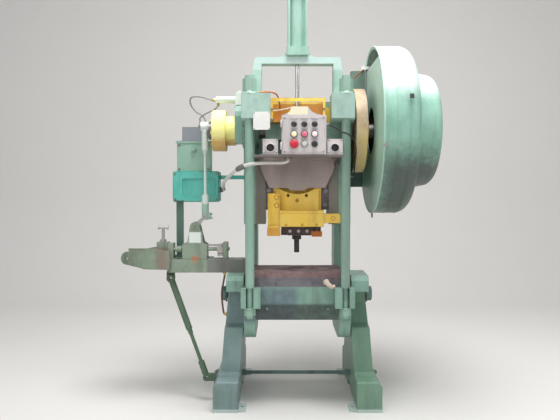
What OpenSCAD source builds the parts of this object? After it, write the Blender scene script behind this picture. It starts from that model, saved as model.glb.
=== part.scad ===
// Open-back inclinable stamping press with a side feed, seen from its front.
// +X to the right, +Y to the rear, +Z up; the origin lies on the floor, midway between the anchor holes.

/* [Feet and legs] */
// Length of a foot, front to rear
foot_len = 900; // [860:10:960]
// Width of a foot
foot_w = 155; // [140:1:170]
// Height of a foot
foot_h = 193; // [170:1:210]
// Distance from the middle to a foot's inner face
foot_in = 370; // [366:1:380]
// Width of a leg above its foot
leg_w = 117; // [100:1:130]
// Height of the flat on top of a leg
leg_top = 505; // [480:1:520]
// How far a leg's front stands behind its foot's front
leg_setback = 130; // [100:1:160]
// Diameter of an anchor hole
anchor_d = 22; // [16:1:26]
// How far the anchor flange reaches inwards
flange_reach = 46; // [42:1:60]
// Thickness of the anchor flange
flange_t = 16; // [10:1:24]
// Distance of an anchor hole from the end of the foot
anchor_inset = 70; // [40:1:110]

/* [Frame] */
// Distance from the middle to the frame's outer wall
frame_half = 337; // [330:1:341]
// Thickness of a side wall
wall_t = 72; // [60:1:72]
// Height of the crown's top
crown_top = 1967; // [1950:1:2000]
// Height of the bed's top
bed_top = 777; // [770:1:785]
// Height of the bed's front face
bed_front_h = 207; // [180:1:230]
// How far the bed's front stands before the crank axis
bed_reach = 225; // [215:1:230]
// Bore in the bed for slugs
slug_d = 200; // [120:5:240]
// Height of the trunnion axis
trunnion_z = 690; // [670:1:700]
// Diameter of the trunnion bolt
trunnion_d = 60; // [50:1:70]
// How far the trunnion axis lies behind the crank axis
trunnion_back = 50; // [46:1:54]
// Height of the tie bar between the feet
tie_bar_z = 120; // [112:1:128]
// Radius of the tie bar
tie_bar_r = 12; // [10:0.5:13]

/* [Bolster] */
// Half width of the bolster
bolster_half = 298; // [280:1:300]
// Thickness of the bolster
bolster_t = 58; // [50:1:64]
// Thickness of the plate on the bolster
top_plate_t = 36; // [25:1:40]
// Spacing of the die bolt holes across
die_hole_x = 360; // [300:5:420]
// Spacing of the die bolt holes front to rear
die_hole_y = 220; // [180:5:260]
// Diameter of a die bolt hole
die_hole_d = 18; // [12:1:24]

/* [Tie rods] */
// Distance of a tie rod from the middle
tie_x = 295; // [290:1:298]
// How far the tie rods stand before the crank axis
tie_reach = 264; // [262:1:272]
// Diameter of a tie rod
tie_d = 56; // [48:1:60]
// Width of a tie rod nut across its flats
tie_nut_af = 74; // [70:1:78]
// Height of the upper tie rod nut
tie_nut_h = 92; // [60:1:100]

/* [Crank and connection] */
// Height of the crank axis
crank_z = 1766; // [1760:1:1772]
// Stroke of the slide
stroke = 75; // [60:1:76]
// Radius of the main journals
journal_r = 50; // [44:1:54]
// Radius of the crank pin
pin_r = 52; // [46:1:54]
// Wall of a main bush
bush_wall = 12; // [8:1:14]
// Length of the connection from crank pin to ball
rod_len = 385; // [380:1:390]
// Diameter of the adjusting screw
screw_d = 64; // [50:1:66]
// Radius of the ball
ball_r = 46; // [40:1:48]

/* [Slide] */
// Half width of the slide
slide_half = 152; // [145:1:155]
// Height of the slide's lower face
slide_low = 1254; // [1245:1:1260]
// Height of the slide's body
slide_h = 226; // [200:1:235]
// Depth of the slide behind the crank axis
slide_deep = 105; // [100:1:108]
// Depth of the slide before the crank axis
slide_front = 147; // [140:1:149]
// Thickness of the lower clamp block
clamp_h = 103; // [90:1:110]
// Thickness of the tool plate
tool_h = 58; // [45:1:64]
// Height of the knock-out bar
knock_h = 60; // [50:1:64]
// Lift of the knock-out bar in its slot
knock_lift = 18; // [10:1:20]
// Distance of the knock-out bar's front face before the crank axis
knock_front = 190; // [186:1:192]

/* [Counterbalance] */
// Height of the yoke above the crown
yoke_h = 241; // [223:1:253]
// Thickness of the yoke's bar
yoke_bar = 40; // [34:1:46]
// Half width of the yoke across its top
yoke_half = 266; // [258:1:272]
// Depth of the yoke
yoke_deep = 90; // [70:1:100]
// Outer diameter of the cylinder tube
tube_d = 96; // [88:1:100]
// Length of the cylinder tube
tube_len = 340; // [300:5:380]
// Side of a cylinder head
head_w = 136; // [128:1:140]
// Distance of the piston rod before the crank axis
piston_reach = 135; // [133:1:138]
// Diameter of the piston rod
piston_rod_d = 25; // [20:1:28]

/* [Brake and clutch] */
// Radius of the brake's large drum
brake_r = 133; // [120:1:140]
// Radius of the brake's small drum
brake_small_r = 96; // [90:1:100]
// Radius of the clutch disc
clutch_r = 270; // [250:1:275]
// Thickness of the clutch disc
clutch_t = 70; // [50:1:72]

/* [Flywheel and drive] */
// Radius of the flywheel
flywheel_r = 430; // [400:5:440]
// Width of the flywheel
flywheel_w = 110; // [90:1:120]
// Radius of the motor pulley
pulley_r = 70; // [60:1:75]
// Distance of the motor behind the crank axis
motor_back = 530; // [525:1:535]
// Height of the motor axis above the crank axis
motor_rise = 110; // [90:1:120]
// Radius of the motor body
motor_r = 102; // [90:1:105]
// Radius of the guard's large drum
guard_r = 535; // [520:1:540]
// Radius of the guard's small drum
guard_small_r = 358; // [340:1:370]
// Thickness of the guard's sheet
guard_t = 4; // [3:0.5:6]

/* [Covers and controls] */
// Half width of the crank guard
tray_half = 166; // [150:1:168]
// Width of the control box
box_w = 262; // [250:1:266]
// Height of the control box
box_h = 226; // [215:1:235]
// Depth of the control box
box_d = 120; // [90:1:130]
// Pitch of the operating elements across
knob_pitch_x = 60; // [52:1:64]
// Pitch of the operating elements in height
knob_pitch_z = 58; // [50:1:60]
// Side of a palm button box
palm_w = 90; // [80:1:96]
// Travel of a palm button
palm_travel = 6; // [4:0.5:8]
// Travel of a push button
push_travel = 4; // [3:0.5:5]

/* [Side feed] */
// Distance from the frame's wall to the feed's drive rod
feed_gap = 263; // [259:1:269]
// Throw of the feed crank
feed_throw = 30; // [26:1:32]
// Height of the feed lever's pivot
lever_z = 1140; // [1136:1:1144]
// Length of the feed lever's lower arm
lower_arm = 88; // [84:1:90]
// Distance from the drive rod out to the feed lever's pivot
lever_out = 64; // [62:1:68]
// Diameter of a guide rod
guide_d = 20; // [16:1:24]
// Height of the guide rods
guide_z = 992; // [986:1:996]
// Height of the feed rail's underside
rail_low = 843.5; // [843.5:0.5:846]
// Height of the feed rail
rail_h = 86; // [80:1:90]

/* [Hidden] */
$fn = 48;
// Small clearances: between bodies that pass, and round a running shaft
gap = 0.3;
run = 0.05;
crank_y = -170;
yoke_top = crown_top + yoke_h;
feed_rod_x = frame_half + feed_gap;
lever_x = feed_rod_x + lever_out;
// From the frame's wall out to a leg and to the outer face of an upper lug
leg_top_in = frame_half + 8;
lug_out = frame_half + 8;
lug_in = tray_half + 38;
ear_out = frame_half + 108;
leg_front = -280 + leg_setback;
foot_front = -280;
foot_end = foot_front + foot_len;
foot_mid = (foot_front + foot_end) / 2;
anchor_x = foot_in - flange_reach / 2;
anchor_half_y = foot_len / 2 - anchor_inset;
wall_in = frame_half - wall_t;
bed_low = bed_top - bed_front_h;
tie_y = -tie_reach;
tie_end_r = 20;
lug_low = 655;
bolster_rear = 118;
bolster_top = bed_top + bolster_t + top_plate_t;
throw_r = stroke / 2;
pin_z = crank_z + throw_r;
ball_z = pin_z - rod_len;
gib_w = 49;
gib_h = 246;
vee_deep = 22;
rail_in = slide_half + gib_w;
clamp_low = slide_low - clamp_h;
tool_low = clamp_low - tool_h;
knock_t = 30;
knock_seat = 22;
tube_low = yoke_top + 62;
tube_high = tube_low + tube_len;
clutch_x = frame_half + 23;
guard_x = frame_half + 148;
wheel_x = guard_x + 55;
brake_in = frame_half + 61;
brake_step = brake_in + 62;
brake_out = brake_step + 85;
shaft_left = feed_rod_x - 38;
lever_arm = [lever_x - feed_rod_x, 66];
arm_reach = norm(lever_arm);
arm_angle = atan2(lever_arm[1], lever_arm[0]);
lever_swing = arm_angle - asin((lever_arm[1] - 2 * feed_throw) / arm_reach);
feed_travel = 2 * lower_arm * sin(lever_swing / 2);
rod_pin_z = lever_z + lever_arm[1];
rail_top = rail_low + rail_h;

// The press is drawn about its crank axis and then set over the anchor holes
module press() { translate([0, crank_y, 0]) children(); }
module both_sides() { children(); mirror([1, 0, 0]) children(); }
// A rod along X from x0 to x1
module rod_x(x0, x1, r, y = 0, z = 0) {
    translate([x0, y, z]) rotate([0, 90, 0]) cylinder(r = r, h = x1 - x0);
}
module rod_y(y0, y1, r, x = 0, z = 0) {
    translate([x, y0, z]) rotate([-90, 0, 0]) cylinder(r = r, h = y1 - y0);
}
module rod_z(z0, z1, r, x = 0, y = 0) { translate([x, y, z0]) cylinder(r = r, h = z1 - z0); }
// A block from its low corner to its high corner
module block(lo, hi) { translate(lo) cube(hi - lo); }
// A side outline of [depth, height] points, carried along X from x0 to x1
module side_plate(x0, x1) { translate([x0, 0, 0]) rotate([90, 0, 90]) linear_extrude(x1 - x0) children(); }
// A front outline of [width, height] points, carried along Y from y0 to y1
module front_plate(y0, y1) { translate([0, y1, 0]) rotate([90, 0, 0]) linear_extrude(y1 - y0) children(); }
// A hexagon prism standing on z0
module hex_z(z0, h, af, x = 0, y = 0) { translate([x, y, z0]) cylinder(r = af / sqrt(3), h = h, $fn = 6); }
function arc(cx, cy, r, a0, a1, n) = [for (i = [0:n]) let (a = a0 + (a1 - a0) * i / n) [cx + r * cos(a),
    cy + r * sin(a)]];
// A rectangle with round corners
module round_rect(w, h, r) {
    x = w / 2 - r;
    y = h / 2 - r;
    polygon(concat(arc(x, y, r, 0, 90, 5), arc(-x, y, r, 90, 180, 5),
        arc(-x, -y, r, 180, 270, 5), arc(x, -y, r, 270, 360, 5)));
}
// The outline of a belt that runs round two circles
function belt_outline(r0, r1, px, py) = let (a = atan2(py, px), t = acos((r0 - r1) / norm([px, py])))
    concat(arc(0, 0, r0, a + t, a + 360 - t, 64), arc(px, py, r1, a - t, a + t, 24));

// Legs: a box foot, an upright that leans inwards and an arm up to the frame's trunnion
module leg() {
    arm_top = trunnion_z + 72;
    difference() {
        union() {
            intersection() {
                side_plate(foot_in - 40, foot_in + foot_w + 5) polygon(concat([[foot_end, 0],
                    [foot_front, 0]],
                    arc(foot_front + 14, foot_h - 14, 14, 180, 90, 4),
                    [[leg_front - 16, foot_h], [leg_front, foot_h + 26]],
                    arc(leg_front + 14, leg_top - 14, 14, 180, 90, 4),
                    [[leg_front + 70, leg_top + 10], [-34, 640]],
                    arc(trunnion_back, trunnion_z, 84, 165, 15, 8),
                    [[200, 560], [foot_end - 150, foot_h + 40], [foot_end - 20, foot_h], [foot_end,
                        foot_h - 30]]));
                front_plate(foot_front - 1, foot_end + 1) polygon([[foot_in, 0], [foot_in + foot_w, 0],
                    [foot_in + foot_w, foot_h - 34], [foot_in + foot_w - 22, foot_h],
                        [foot_in + leg_w - 2, foot_h + 30],
                    [leg_top_in + leg_w, leg_top], [leg_top_in + leg_w - 20, arm_top + 30], [leg_top_in,
                        arm_top + 30],
                    [leg_top_in, leg_top], [foot_in - 2, foot_h]]);
            }
            for (y = [foot_mid - anchor_half_y, foot_mid + anchor_half_y])
                block([foot_in - flange_reach, y - 60, 0], [foot_in + 5, y + 60, flange_t]);
        }
        for (y = [foot_mid - anchor_half_y, foot_mid + anchor_half_y]) rod_z(-1, flange_t + 1,
            anchor_d / 2, anchor_x, y);
        rod_x(leg_top_in - 5, leg_top_in + leg_w + 5, trunnion_d / 2, trunnion_back, trunnion_z);
        // Arched opening under the leg between its front and rear bearing pads
        rod_x(foot_in - 60, foot_in + foot_w + 10, 150, foot_mid, -96);
        // Hole for the tie bar
        rod_x(foot_in - 20, foot_in + foot_w + 10, tie_bar_r + run, foot_mid, tie_bar_z);
    }
}
module left_leg() { color([0.48, 0.55, 0.55]) press() mirror([1, 0, 0]) leg(); }
module right_leg() { color([0.38, 0.46, 0.40]) press() leg(); }

// Tie bar between the feet with its nuts, and the two trunnion bolts with their washers
module leg_fasteners() {
    color([0.45, 0.45, 0.43]) press() {
        end = foot_in + foot_w;
        difference() {
            rod_x(-end - 34, end + 34, tie_bar_r, foot_mid, tie_bar_z);
            rod_x(-end - 35, -end - 33, tie_bar_r / 2, foot_mid, tie_bar_z);
        }
        both_sides() for (x = [end + gap, foot_in - 26]) difference() {
            translate([x, foot_mid, tie_bar_z]) rotate([0, 90, 0]) cylinder(r = 21, h = 22, $fn = 6);
            rod_x(x - 1, x + 23, tie_bar_r + run, foot_mid, tie_bar_z);
        }
        both_sides() {
            rod_x(frame_half - 58, leg_top_in + leg_w + 6, trunnion_d / 2 - run, trunnion_back, trunnion_z);
            rod_x(leg_top_in + leg_w + gap, leg_top_in + leg_w + 8, 56, trunnion_back, trunnion_z);
            translate([leg_top_in + leg_w + 8, trunnion_back, trunnion_z]) rotate([0, 90, 0])
                cylinder(r = 48, h = 30, $fn = 6);
        }
    }
}

// Frame: one casting of two C side walls, bed, crown, slide ways and lugs
module frame_wall() {
    polygon(concat([[-165, crown_top], [-165, 1560], [-150, 1530], [-150, 1165], [130, 1165]],
        arc(130, 1105, 60, 90, 0, 5), [[190, 880]], arc(120, bed_top + 70, 70, 0, -90, 5),
        [[-bed_reach, bed_top], [-bed_reach, bed_low], [-205, bed_low - 6]],
        arc(-60, bed_low, 145, 182, 270, 7), arc(250, bed_low, 145, 270, 350, 7),
        [[400, 700], [400, 1500]], arc(200, crown_top - 170, 170, 20, 90, 6)));
}
module frame() {
    color([0.45, 0.60, 0.55]) press() difference() {
        union() {
            both_sides() {
                side_plate(wall_in, frame_half) frame_wall();
                // Slide way, bearing boss, trunnion boss and the ear beside the bolster
                block([rail_in, -150, 1165], [wall_in + 1, 95, 1560]);
                rod_x(wall_in - 20, frame_half + 14, 112, 0, crank_z);
                rod_x(frame_half - 1, leg_top_in - gap, 92, trunnion_back, trunnion_z);
                side_plate(frame_half - 1, ear_out) polygon([[-bed_reach, 745], [-bed_reach, rail_low - 30],
                    [-bed_reach + 20, rail_low], [60, rail_low], [60, 778], [-66, 778], [-66, 745]]);
                tie_lug_low();
            }
            tie_lug_high(lug_in, lug_out);
            mirror([1, 0, 0]) tie_lug_high(tray_half + gap, lug_out);
            // Bed with its front wall, its top and its rear wall
            block([-wall_in - 1, -bed_reach, bed_top - 62], [wall_in + 1, 260, bed_top]);
            block([-wall_in - 1, -bed_reach, bed_low], [wall_in + 1, -bed_reach + 46, bed_top]);
            block([-wall_in - 1, 214, bed_low], [wall_in + 1, 260, bed_top]);
            // Crown rear web and its top
            block([-wall_in - 1, 190, 1480], [wall_in + 1, 226, crown_top]);
            block([-wall_in - 1, 120, crown_top - 30], [wall_in + 1, 226, crown_top]);
            // Bracket for the brake on the left wall
            side_plate(-brake_in, -frame_half + 1) polygon(concat([[-92, crank_z - 82], [92, crank_z - 82]],
                arc(0, crank_z + 72, 94, 10, 170, 8)));
        }
        rod_x(-500, 500, journal_r + bush_wall + run, 0, crank_z);
        both_sides() {
            rod_z(crown_top - 190, crown_top + 10, tie_d / 2 + 1, tie_x, tie_y);
            rod_z(lug_low - 1, bed_top + 1, tie_end_r + 2, tie_x, tie_y);
            block([tie_x - tie_end_r - 2, tie_y - 60, lug_low - 1], [tie_x + tie_end_r + 2, tie_y,
                bed_top + 1]);
            rod_x(frame_half - 60, leg_top_in + 1, trunnion_d / 2, trunnion_back, trunnion_z);
            // Cored pocket in the outer side of the column
            side_plate(frame_half - 26, frame_half + 1) polygon(concat(arc(300, 1300, 50, 0, 180, 8),
                arc(300, 960, 50, 180, 360, 8)));
        }
        rod_z(bed_low, bed_top + 1, slug_d / 2);
    }
}
// Lug at the crown that a tie rod passes through
module tie_lug_high(x0, x1) {
    block([x0, tie_y - 44, crown_top - 150], [x1, -140, crown_top]);
    side_plate(x0, x1) polygon([[tie_y - 44, crown_top - 150], [-160, crown_top - 190], [-150,
        crown_top - 150]]);
}
// Lug at the bed, whose slot is open to the front
module tie_lug_low() {
    front_plate(tie_y - 44, -bed_reach + 20) polygon([[tie_x - 67, lug_low], [tie_x + 55, lug_low],
        [tie_x + 55, bed_top], [tie_x - 67, bed_top]]);
}
module bolster() {
    color([0.42, 0.40, 0.42]) press() difference() {
        block([-bolster_half, -bed_reach, bed_top], [bolster_half, bolster_rear, bed_top + bolster_t]);
        rod_z(bed_top - 1, bolster_top, slug_d / 2 - 20);
        both_sides() for (y = [-1, 1]) rod_z(bed_top - 1, bolster_top, die_hole_d / 2, die_hole_x / 2,
            y * die_hole_y / 2 - 30);
    }
}
module bolster_top_plate() {
    color([0.49, 0.40, 0.42]) press() difference() {
        block([-bolster_half + 12, -bed_reach + 4, bed_top + bolster_t], [bolster_half - 12,
            bolster_rear - 8, bolster_top]);
        rod_z(bed_top, bolster_top + 1, slug_d / 2 - 40);
        both_sides() for (y = [-1, 1]) rod_z(bed_top, bolster_top + 1, die_hole_d / 2, die_hole_x / 2,
            y * die_hole_y / 2 - 30);
    }
}
// Tie rods: a thick shank between the lugs with a thinner end in each
module tie_rods() {
    color([0.60, 0.69, 0.64]) press() both_sides() {
        rod_z(bed_top + gap, crown_top + tie_nut_h + 18, tie_d / 2, tie_x, tie_y);
        rod_z(lug_low - 65, bed_top + 1, tie_end_r, tie_x, tie_y);
    }
}
module tie_rod_nuts() {
    color([0.75, 0.82, 0.79]) press() both_sides() {
        difference() {
            union() {
                translate([tie_x, tie_y, crown_top]) cylinder(r1 = 47, r2 = 38, h = 16);
                hex_z(crown_top + 15, tie_nut_h - 15, tie_nut_af, tie_x, tie_y);
            }
            rod_z(crown_top - 1, crown_top + tie_nut_h + 1, tie_d / 2 + run, tie_x, tie_y);
        }
        difference() {
            union() {
                rod_z(lug_low - 8, lug_low - gap, 36, tie_x, tie_y);
                hex_z(lug_low - 49, 41.5, 60, tie_x, tie_y);
            }
            rod_z(lug_low - 50, lug_low, tie_end_r + run, tie_x, tie_y);
        }
    }
}

// Crank drive
module main_bushes() {
    color([0.62, 0.50, 0.30]) press() both_sides() difference() {
        rod_x(wall_in - 20, frame_half + 14, journal_r + bush_wall, 0, crank_z);
        rod_x(wall_in - 21, frame_half + 15, journal_r + run, 0, crank_z);
    }
}
module crankshaft() {
    cheek_in = 68;
    cheek_out = 118;
    color([0.55, 0.55, 0.56]) press() union() {
        // The brake hub is keyed to the left end
        rod_x(cheek_out - 1, 800, journal_r - 6, 0, crank_z);
        rod_x(cheek_out - 1, frame_half + 20, journal_r, 0, crank_z);
        rod_x(-frame_half - 20, -cheek_out + 1, journal_r, 0, crank_z);
        rod_x(-shaft_left, -cheek_out + 1, journal_r - 10, 0, crank_z);
        rod_x(-cheek_in - 1, cheek_in + 1, pin_r, 0, pin_z);
        both_sides() difference() {
            side_plate(cheek_in, cheek_out) {
                translate([0, pin_z]) circle(r = 76);
                translate([0, crank_z]) circle(r = 88);
                polygon([[-88, crank_z], [88, crank_z], [76, pin_z], [-76, pin_z]]);
            }
            // Relief on the outer face of the cheek
            rod_x(cheek_out - 8, cheek_out + 1, 10, 0, pin_z + 50);
        }
    }
}
module connecting_rod() {
    color([0.50, 0.50, 0.50]) press() difference() {
        union() {
            intersection() {
                rod_x(-60, 60, pin_r + 30, 0, pin_z);
                block([-61, -120, pin_z - 120], [61, 120, pin_z - 1]);
            }
            both_sides() block([20, -pin_r - 48, pin_z - 50], [60, pin_r + 48, pin_z - 1]);
            rod_z(pin_z - 190, pin_z - 60, 50);
        }
        rod_x(-70, 70, pin_r + run, 0, pin_z);
        both_sides() for (y = [-1, 1]) rod_z(pin_z - 60, pin_z, 10, 40, y * (pin_r + 32));
        rod_z(pin_z - 191, pin_z - 92, screw_d / 2 + 0.02);
    }
}
module rod_cap() {
    color([0.56, 0.55, 0.53]) press() difference() {
        union() {
            intersection() {
                rod_x(-60, 60, pin_r + 26, 0, pin_z);
                block([-61, -120, pin_z], [61, 120, pin_z + 120]);
            }
            both_sides() block([20, -pin_r - 48, pin_z], [60, pin_r + 48, pin_z + 36]);
            both_sides() for (y = [-1, 1]) {
                rod_z(pin_z - 49, pin_z + 37, 9.9, 40, y * (pin_r + 32));
                hex_z(pin_z + 35, 15, 27, 40, y * (pin_r + 32));
            }
            rod_z(pin_z + pin_r + 20, pin_z + pin_r + 40, 9);
        }
        rod_x(-70, 70, pin_r + run, 0, pin_z);
    }
}
module adjusting_screw() {
    color([0.62, 0.62, 0.60]) press() union() {
        rod_z(ball_z, pin_z - 93, screw_d / 2);
        translate([0, 0, ball_z]) sphere(r = ball_r);
        difference() {
            hex_z(pin_z - 222, 31.7, 96);
            rod_z(pin_z - 223, pin_z - 190, screw_d / 2 - 1);
        }
    }
}

// Slide with vee grooves in its sides and a pocket that is open above for the ball
module vee(x, w, deep) {
    polygon([[x + 5, -w - 5], [x, -w], [x - deep, -20], [x, w - 40], [x + 5, w - 35]]);
}
module slide() {
    slide_top = slide_low + slide_h;
    color([0.80, 0.62, 0.24]) press() difference() {
        translate([0, 0, slide_low]) linear_extrude(slide_h) difference() {
            translate([-slide_half, -slide_front]) square([2 * slide_half, slide_front + slide_deep]);
            vee(slide_half, 60, vee_deep);
            mirror([1, 0]) vee(slide_half, 60, vee_deep);
        }
        block([-50, -50, ball_z - ball_r - 12], [50, 92, slide_top + 1]);
        rod_z(slide_low - 1, slide_low + 70, 16, 0, -20);
        // Concave front edge with two bolt holes above the ledge
        rod_y(-slide_front - 1, -slide_front + 40, 190, 0, slide_top + 66);
        both_sides() rod_y(-slide_front - 1, -slide_front + 60, 9, 58, slide_low + 92);
        rod_y(-slide_front - 1, -slide_front + 22, 11, 0, slide_low + 60);
        // Relief along both lower front corners
        both_sides() block([slide_half - 14, -slide_front - 1, slide_low - 1], [slide_half + 1,
            -slide_front + 10, slide_low + 120]);
    }
}
module gibs() {
    color([0.45, 0.42, 0.43]) press() both_sides() difference() {
        translate([0, 0, slide_low + 2]) linear_extrude(gib_h) difference() {
            translate([slide_half - vee_deep, -146]) square([gib_w + vee_deep, 238]);
            difference() {
                translate([-5, -200]) square([slide_half + run + 5, 400]);
                translate([run, 0]) vee(slide_half, 60, vee_deep - run);
            }
        }
        for (z = [30, 120, 210]) rod_y(-147, -120, 7, slide_half + 26, slide_low + 2 + z);
    }
}
module slide_clamp_block() {
    color([0.83, 0.66, 0.26]) press() difference() {
        union() {
            block([-109, -knock_front - 12, clamp_low], [slide_half + 14, slide_deep - 12, slide_low]);
            // Rounded nose along the upper front edge
            rod_x(-109, slide_half + 14, 9, -knock_front - 12, slide_low - 9);
        }
        // Slot across the block for the knock-out bar
        block([-110, -knock_front - gap, clamp_low + knock_seat], [slide_half + 15,
            -knock_front + knock_t + gap,
            clamp_low + knock_seat + knock_h + knock_lift + gap]);
        rod_z(clamp_low - 1, slide_low + 1, 20, 0, 20);
        for (x = [-70, 30, 120]) rod_y(-knock_front - 13, -knock_front - 2, 6, x, clamp_low + 12);
    }
}
// Upright bar on the slide's left front with its foot
module slide_bracket() {
    color([0.86, 0.69, 0.28]) press() difference() {
        union() {
            block([-186, -slide_front - 34, tool_low], [-110, -slide_front - gap / 2 - 4, slide_low + 106]);
            block([-150, -slide_front - 6, slide_low + 10], [-110, -slide_front, slide_low + 100]);
            front_plate(-slide_front - 46, -slide_front - 33) polygon([[-190, tool_low], [-106, tool_low],
                [-106, tool_low + 40], [-116, tool_low + 66], [-180, tool_low + 66], [-190,
                    tool_low + 50]]);
        }
        for (z = [slide_low + 30, slide_low + 80]) rod_y(-slide_front - 60, -slide_front + 1, 8, -130, z);
    }
}
module knockout_bar() {
    z0 = clamp_low + knock_seat;
    color([0.82, 0.64, 0.27]) press() difference() {
        front_plate(-knock_front, -knock_front + knock_t) polygon([[-104, z0], [262, z0], [272, z0 + 10],
            [272, z0 + knock_h - 10], [262, z0 + knock_h], [-104, z0 + knock_h]]);
        rod_y(-knock_front - 1, -knock_front + knock_t + 1, 9, 224, z0 + knock_h / 2);
    }
}
module tool_plate() {
    color([0.30, 0.27, 0.28]) press() union() {
        difference() {
            block([-102, -slide_front - 6, tool_low], [150, slide_deep - 30, clamp_low]);
            for (x = [-46, 8, 62]) rod_y(-slide_front - 7, -slide_front + 8, 11, x, tool_low + 28);
            block([-103, -200, tool_low - 1], [-60, -slide_front + 24, tool_low + 20]);
        }
        // Punch and its shoulder
        rod_z(tool_low - 34, tool_low + 1, 30, 0, -20);
        rod_z(tool_low - 120, tool_low - 33, 17, 0, -20);
        // Clamp at the right with its stud and nut
        block([92, -slide_front - 30, tool_low - 6], [156, -slide_front - 5, tool_low + 26]);
        rod_z(tool_low + 26, tool_low + 46, 9, 122, -slide_front - 18);
    }
}

// Counterbalance: a yoke on the crown, an air cylinder on it and a piston rod down to the slide
module yoke() {
    base_out = 305;
    inner = 224;
    low = yoke_top - yoke_bar;
    color([0.66, 0.82, 0.76]) press() difference() {
        union() {
            front_plate(-piston_reach - yoke_deep / 2, -piston_reach + yoke_deep / 2)
                polygon([[-yoke_half, yoke_top],
                [-base_out + 6, crown_top + 40], [-base_out, crown_top], [-inner + 4, crown_top],
                    [-inner, crown_top + 40],
                [-inner, low], [inner, low], [inner, crown_top + 40], [inner - 4, crown_top], [base_out,
                    crown_top],
                [base_out - 6, crown_top + 40], [yoke_half, yoke_top]]);
            both_sides() front_plate(-piston_reach - 8, -piston_reach + 8)
                polygon([[60, yoke_top - 1], [100, yoke_top - 1], [72, yoke_top + 34], [60,
                    yoke_top + 34]]);
            block([-98, -piston_reach - yoke_deep / 2 + 4, yoke_top - 1], [98,
                -piston_reach + yoke_deep / 2 - 4, yoke_top + 10]);
        }
        block([-head_w / 2 - gap, -piston_reach - 100, yoke_top + 10], [head_w / 2 + gap,
            -piston_reach + 100, yoke_top + 60]);
        rod_z(low - 1, yoke_top + 20, piston_rod_d / 2 + 3, 0, -piston_reach);
        both_sides() rod_z(crown_top + 20, crown_top + 100, 9, 284, -piston_reach);
    }
}
cyl_bolt = 54;
module cylinder_heads() {
    color([0.68, 0.84, 0.78]) press() {
        for (z = [[yoke_top + 10, tube_low], [tube_high, tube_high + 44]]) difference() {
            translate([0, -piston_reach, z[0]]) linear_extrude(z[1] - z[0]) round_rect(head_w, head_w, 10);
            for (x = [-1, 1], y = [-1, 1]) rod_z(z[0] - 1, z[1] + 1, 8 + run, x * cyl_bolt,
                -piston_reach + y * cyl_bolt);
            rod_z(z[0] - 1, z[1] + 1, piston_rod_d / 2 + run, 0, -piston_reach);
        }
    }
}
module cylinder_tube() {
    color([0.72, 0.88, 0.82]) press() difference() {
        rod_z(tube_low, tube_high, tube_d / 2, 0, -piston_reach);
        rod_z(tube_low - 1, tube_high + 1, tube_d / 2 - 7, 0, -piston_reach);
    }
}
module cylinder_tie_rods() {
    color([0.70, 0.84, 0.80]) press() for (x = [-1, 1], y = [-1, 1]) {
        rod_z(yoke_top + 10, tube_high + 58, 8, x * cyl_bolt, -piston_reach + y * cyl_bolt);
        hex_z(tube_high + 44, 10, 24, x * cyl_bolt, -piston_reach + y * cyl_bolt);
    }
}
module balance_piston() {
    seat = slide_low + slide_h;
    color([0.74, 0.72, 0.72]) press() union() {
        rod_z(seat, tube_high - 60, piston_rod_d / 2, 0, -piston_reach);
        rod_z(tube_high - 76, tube_high - 34, tube_d / 2 - 7 - run, 0, -piston_reach);
        // Foot on the slide's top, behind its concave edge
        block([-26, -piston_reach - 15, seat], [26, -55, seat + 26]);
    }
}

// Brake on the left bracket: a stepped drum housing round the shaft
module brake_housing() {
    color([0.95, 0.89, 0.29]) press() difference() {
        union() {
            rod_x(-brake_out, -brake_step + 1, brake_r, 0, crank_z);
            rod_x(-brake_step, -brake_in, brake_small_r, 0, crank_z);
            for (a = [20:40:340]) translate([-brake_out - 7, 0, crank_z]) rotate([a, 0, 0]) translate([0,
                0, brake_r - 18])
                rotate([0, 90, 0]) cylinder(r = 9, h = 8, $fn = 6);
            rod_x(-brake_out - 4, -brake_out + 1, brake_r - 44, 0, crank_z);
        }
        rod_x(-brake_out + 10, -brake_step - 8, brake_r - 12, 0, crank_z);
        rod_x(-brake_out - 15, -brake_in + 8, journal_r - 6, 0, crank_z);
    }
}
module exhaust_muffler() {
    top = crown_top - 35;
    color([0.85, 0.88, 0.84]) press() union() {
        block([-brake_in, -24, top], [-brake_in + 46, 24, top + 84]);
        rod_z(top + 83, top + 92, 18, -brake_in + 23, 0);
        rod_x(-brake_in - 128, -brake_in + 1, 22, 0, top + 36);
        rod_x(-brake_in - 136, -brake_in - 127, 12, 0, top + 36);
    }
}
module clutch_disc() {
    color([0.70, 0.62, 0.46]) press() difference() {
        union() {
            rod_x(clutch_x, clutch_x + clutch_t, clutch_r, 0, crank_z);
            rod_x(clutch_x + clutch_t - 1, clutch_x + clutch_t + 30, 96, 0, crank_z);
        }
        rod_x(clutch_x - 1, clutch_x + clutch_t + 31, journal_r - 6 + 0.02, 0, crank_z);
        // Rim relief on the right face, and the bolt circle
        difference() {
            rod_x(clutch_x + clutch_t - 22, clutch_x + clutch_t + 1, clutch_r - 34, 0, crank_z);
            rod_x(clutch_x, clutch_x + clutch_t + 2, 120, 0, crank_z);
        }
        for (a = [0:45:315]) translate([clutch_x - 1, 0, crank_z]) rotate([a, 0, 0]) translate([0, 0,
            clutch_r - 60])
            rotate([0, 90, 0]) cylinder(r = 9, h = 80);
    }
}
belt_x = [for (i = [-1:1]) wheel_x + flywheel_w / 2 + 30 * i];
belt_depth = 10;
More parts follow.
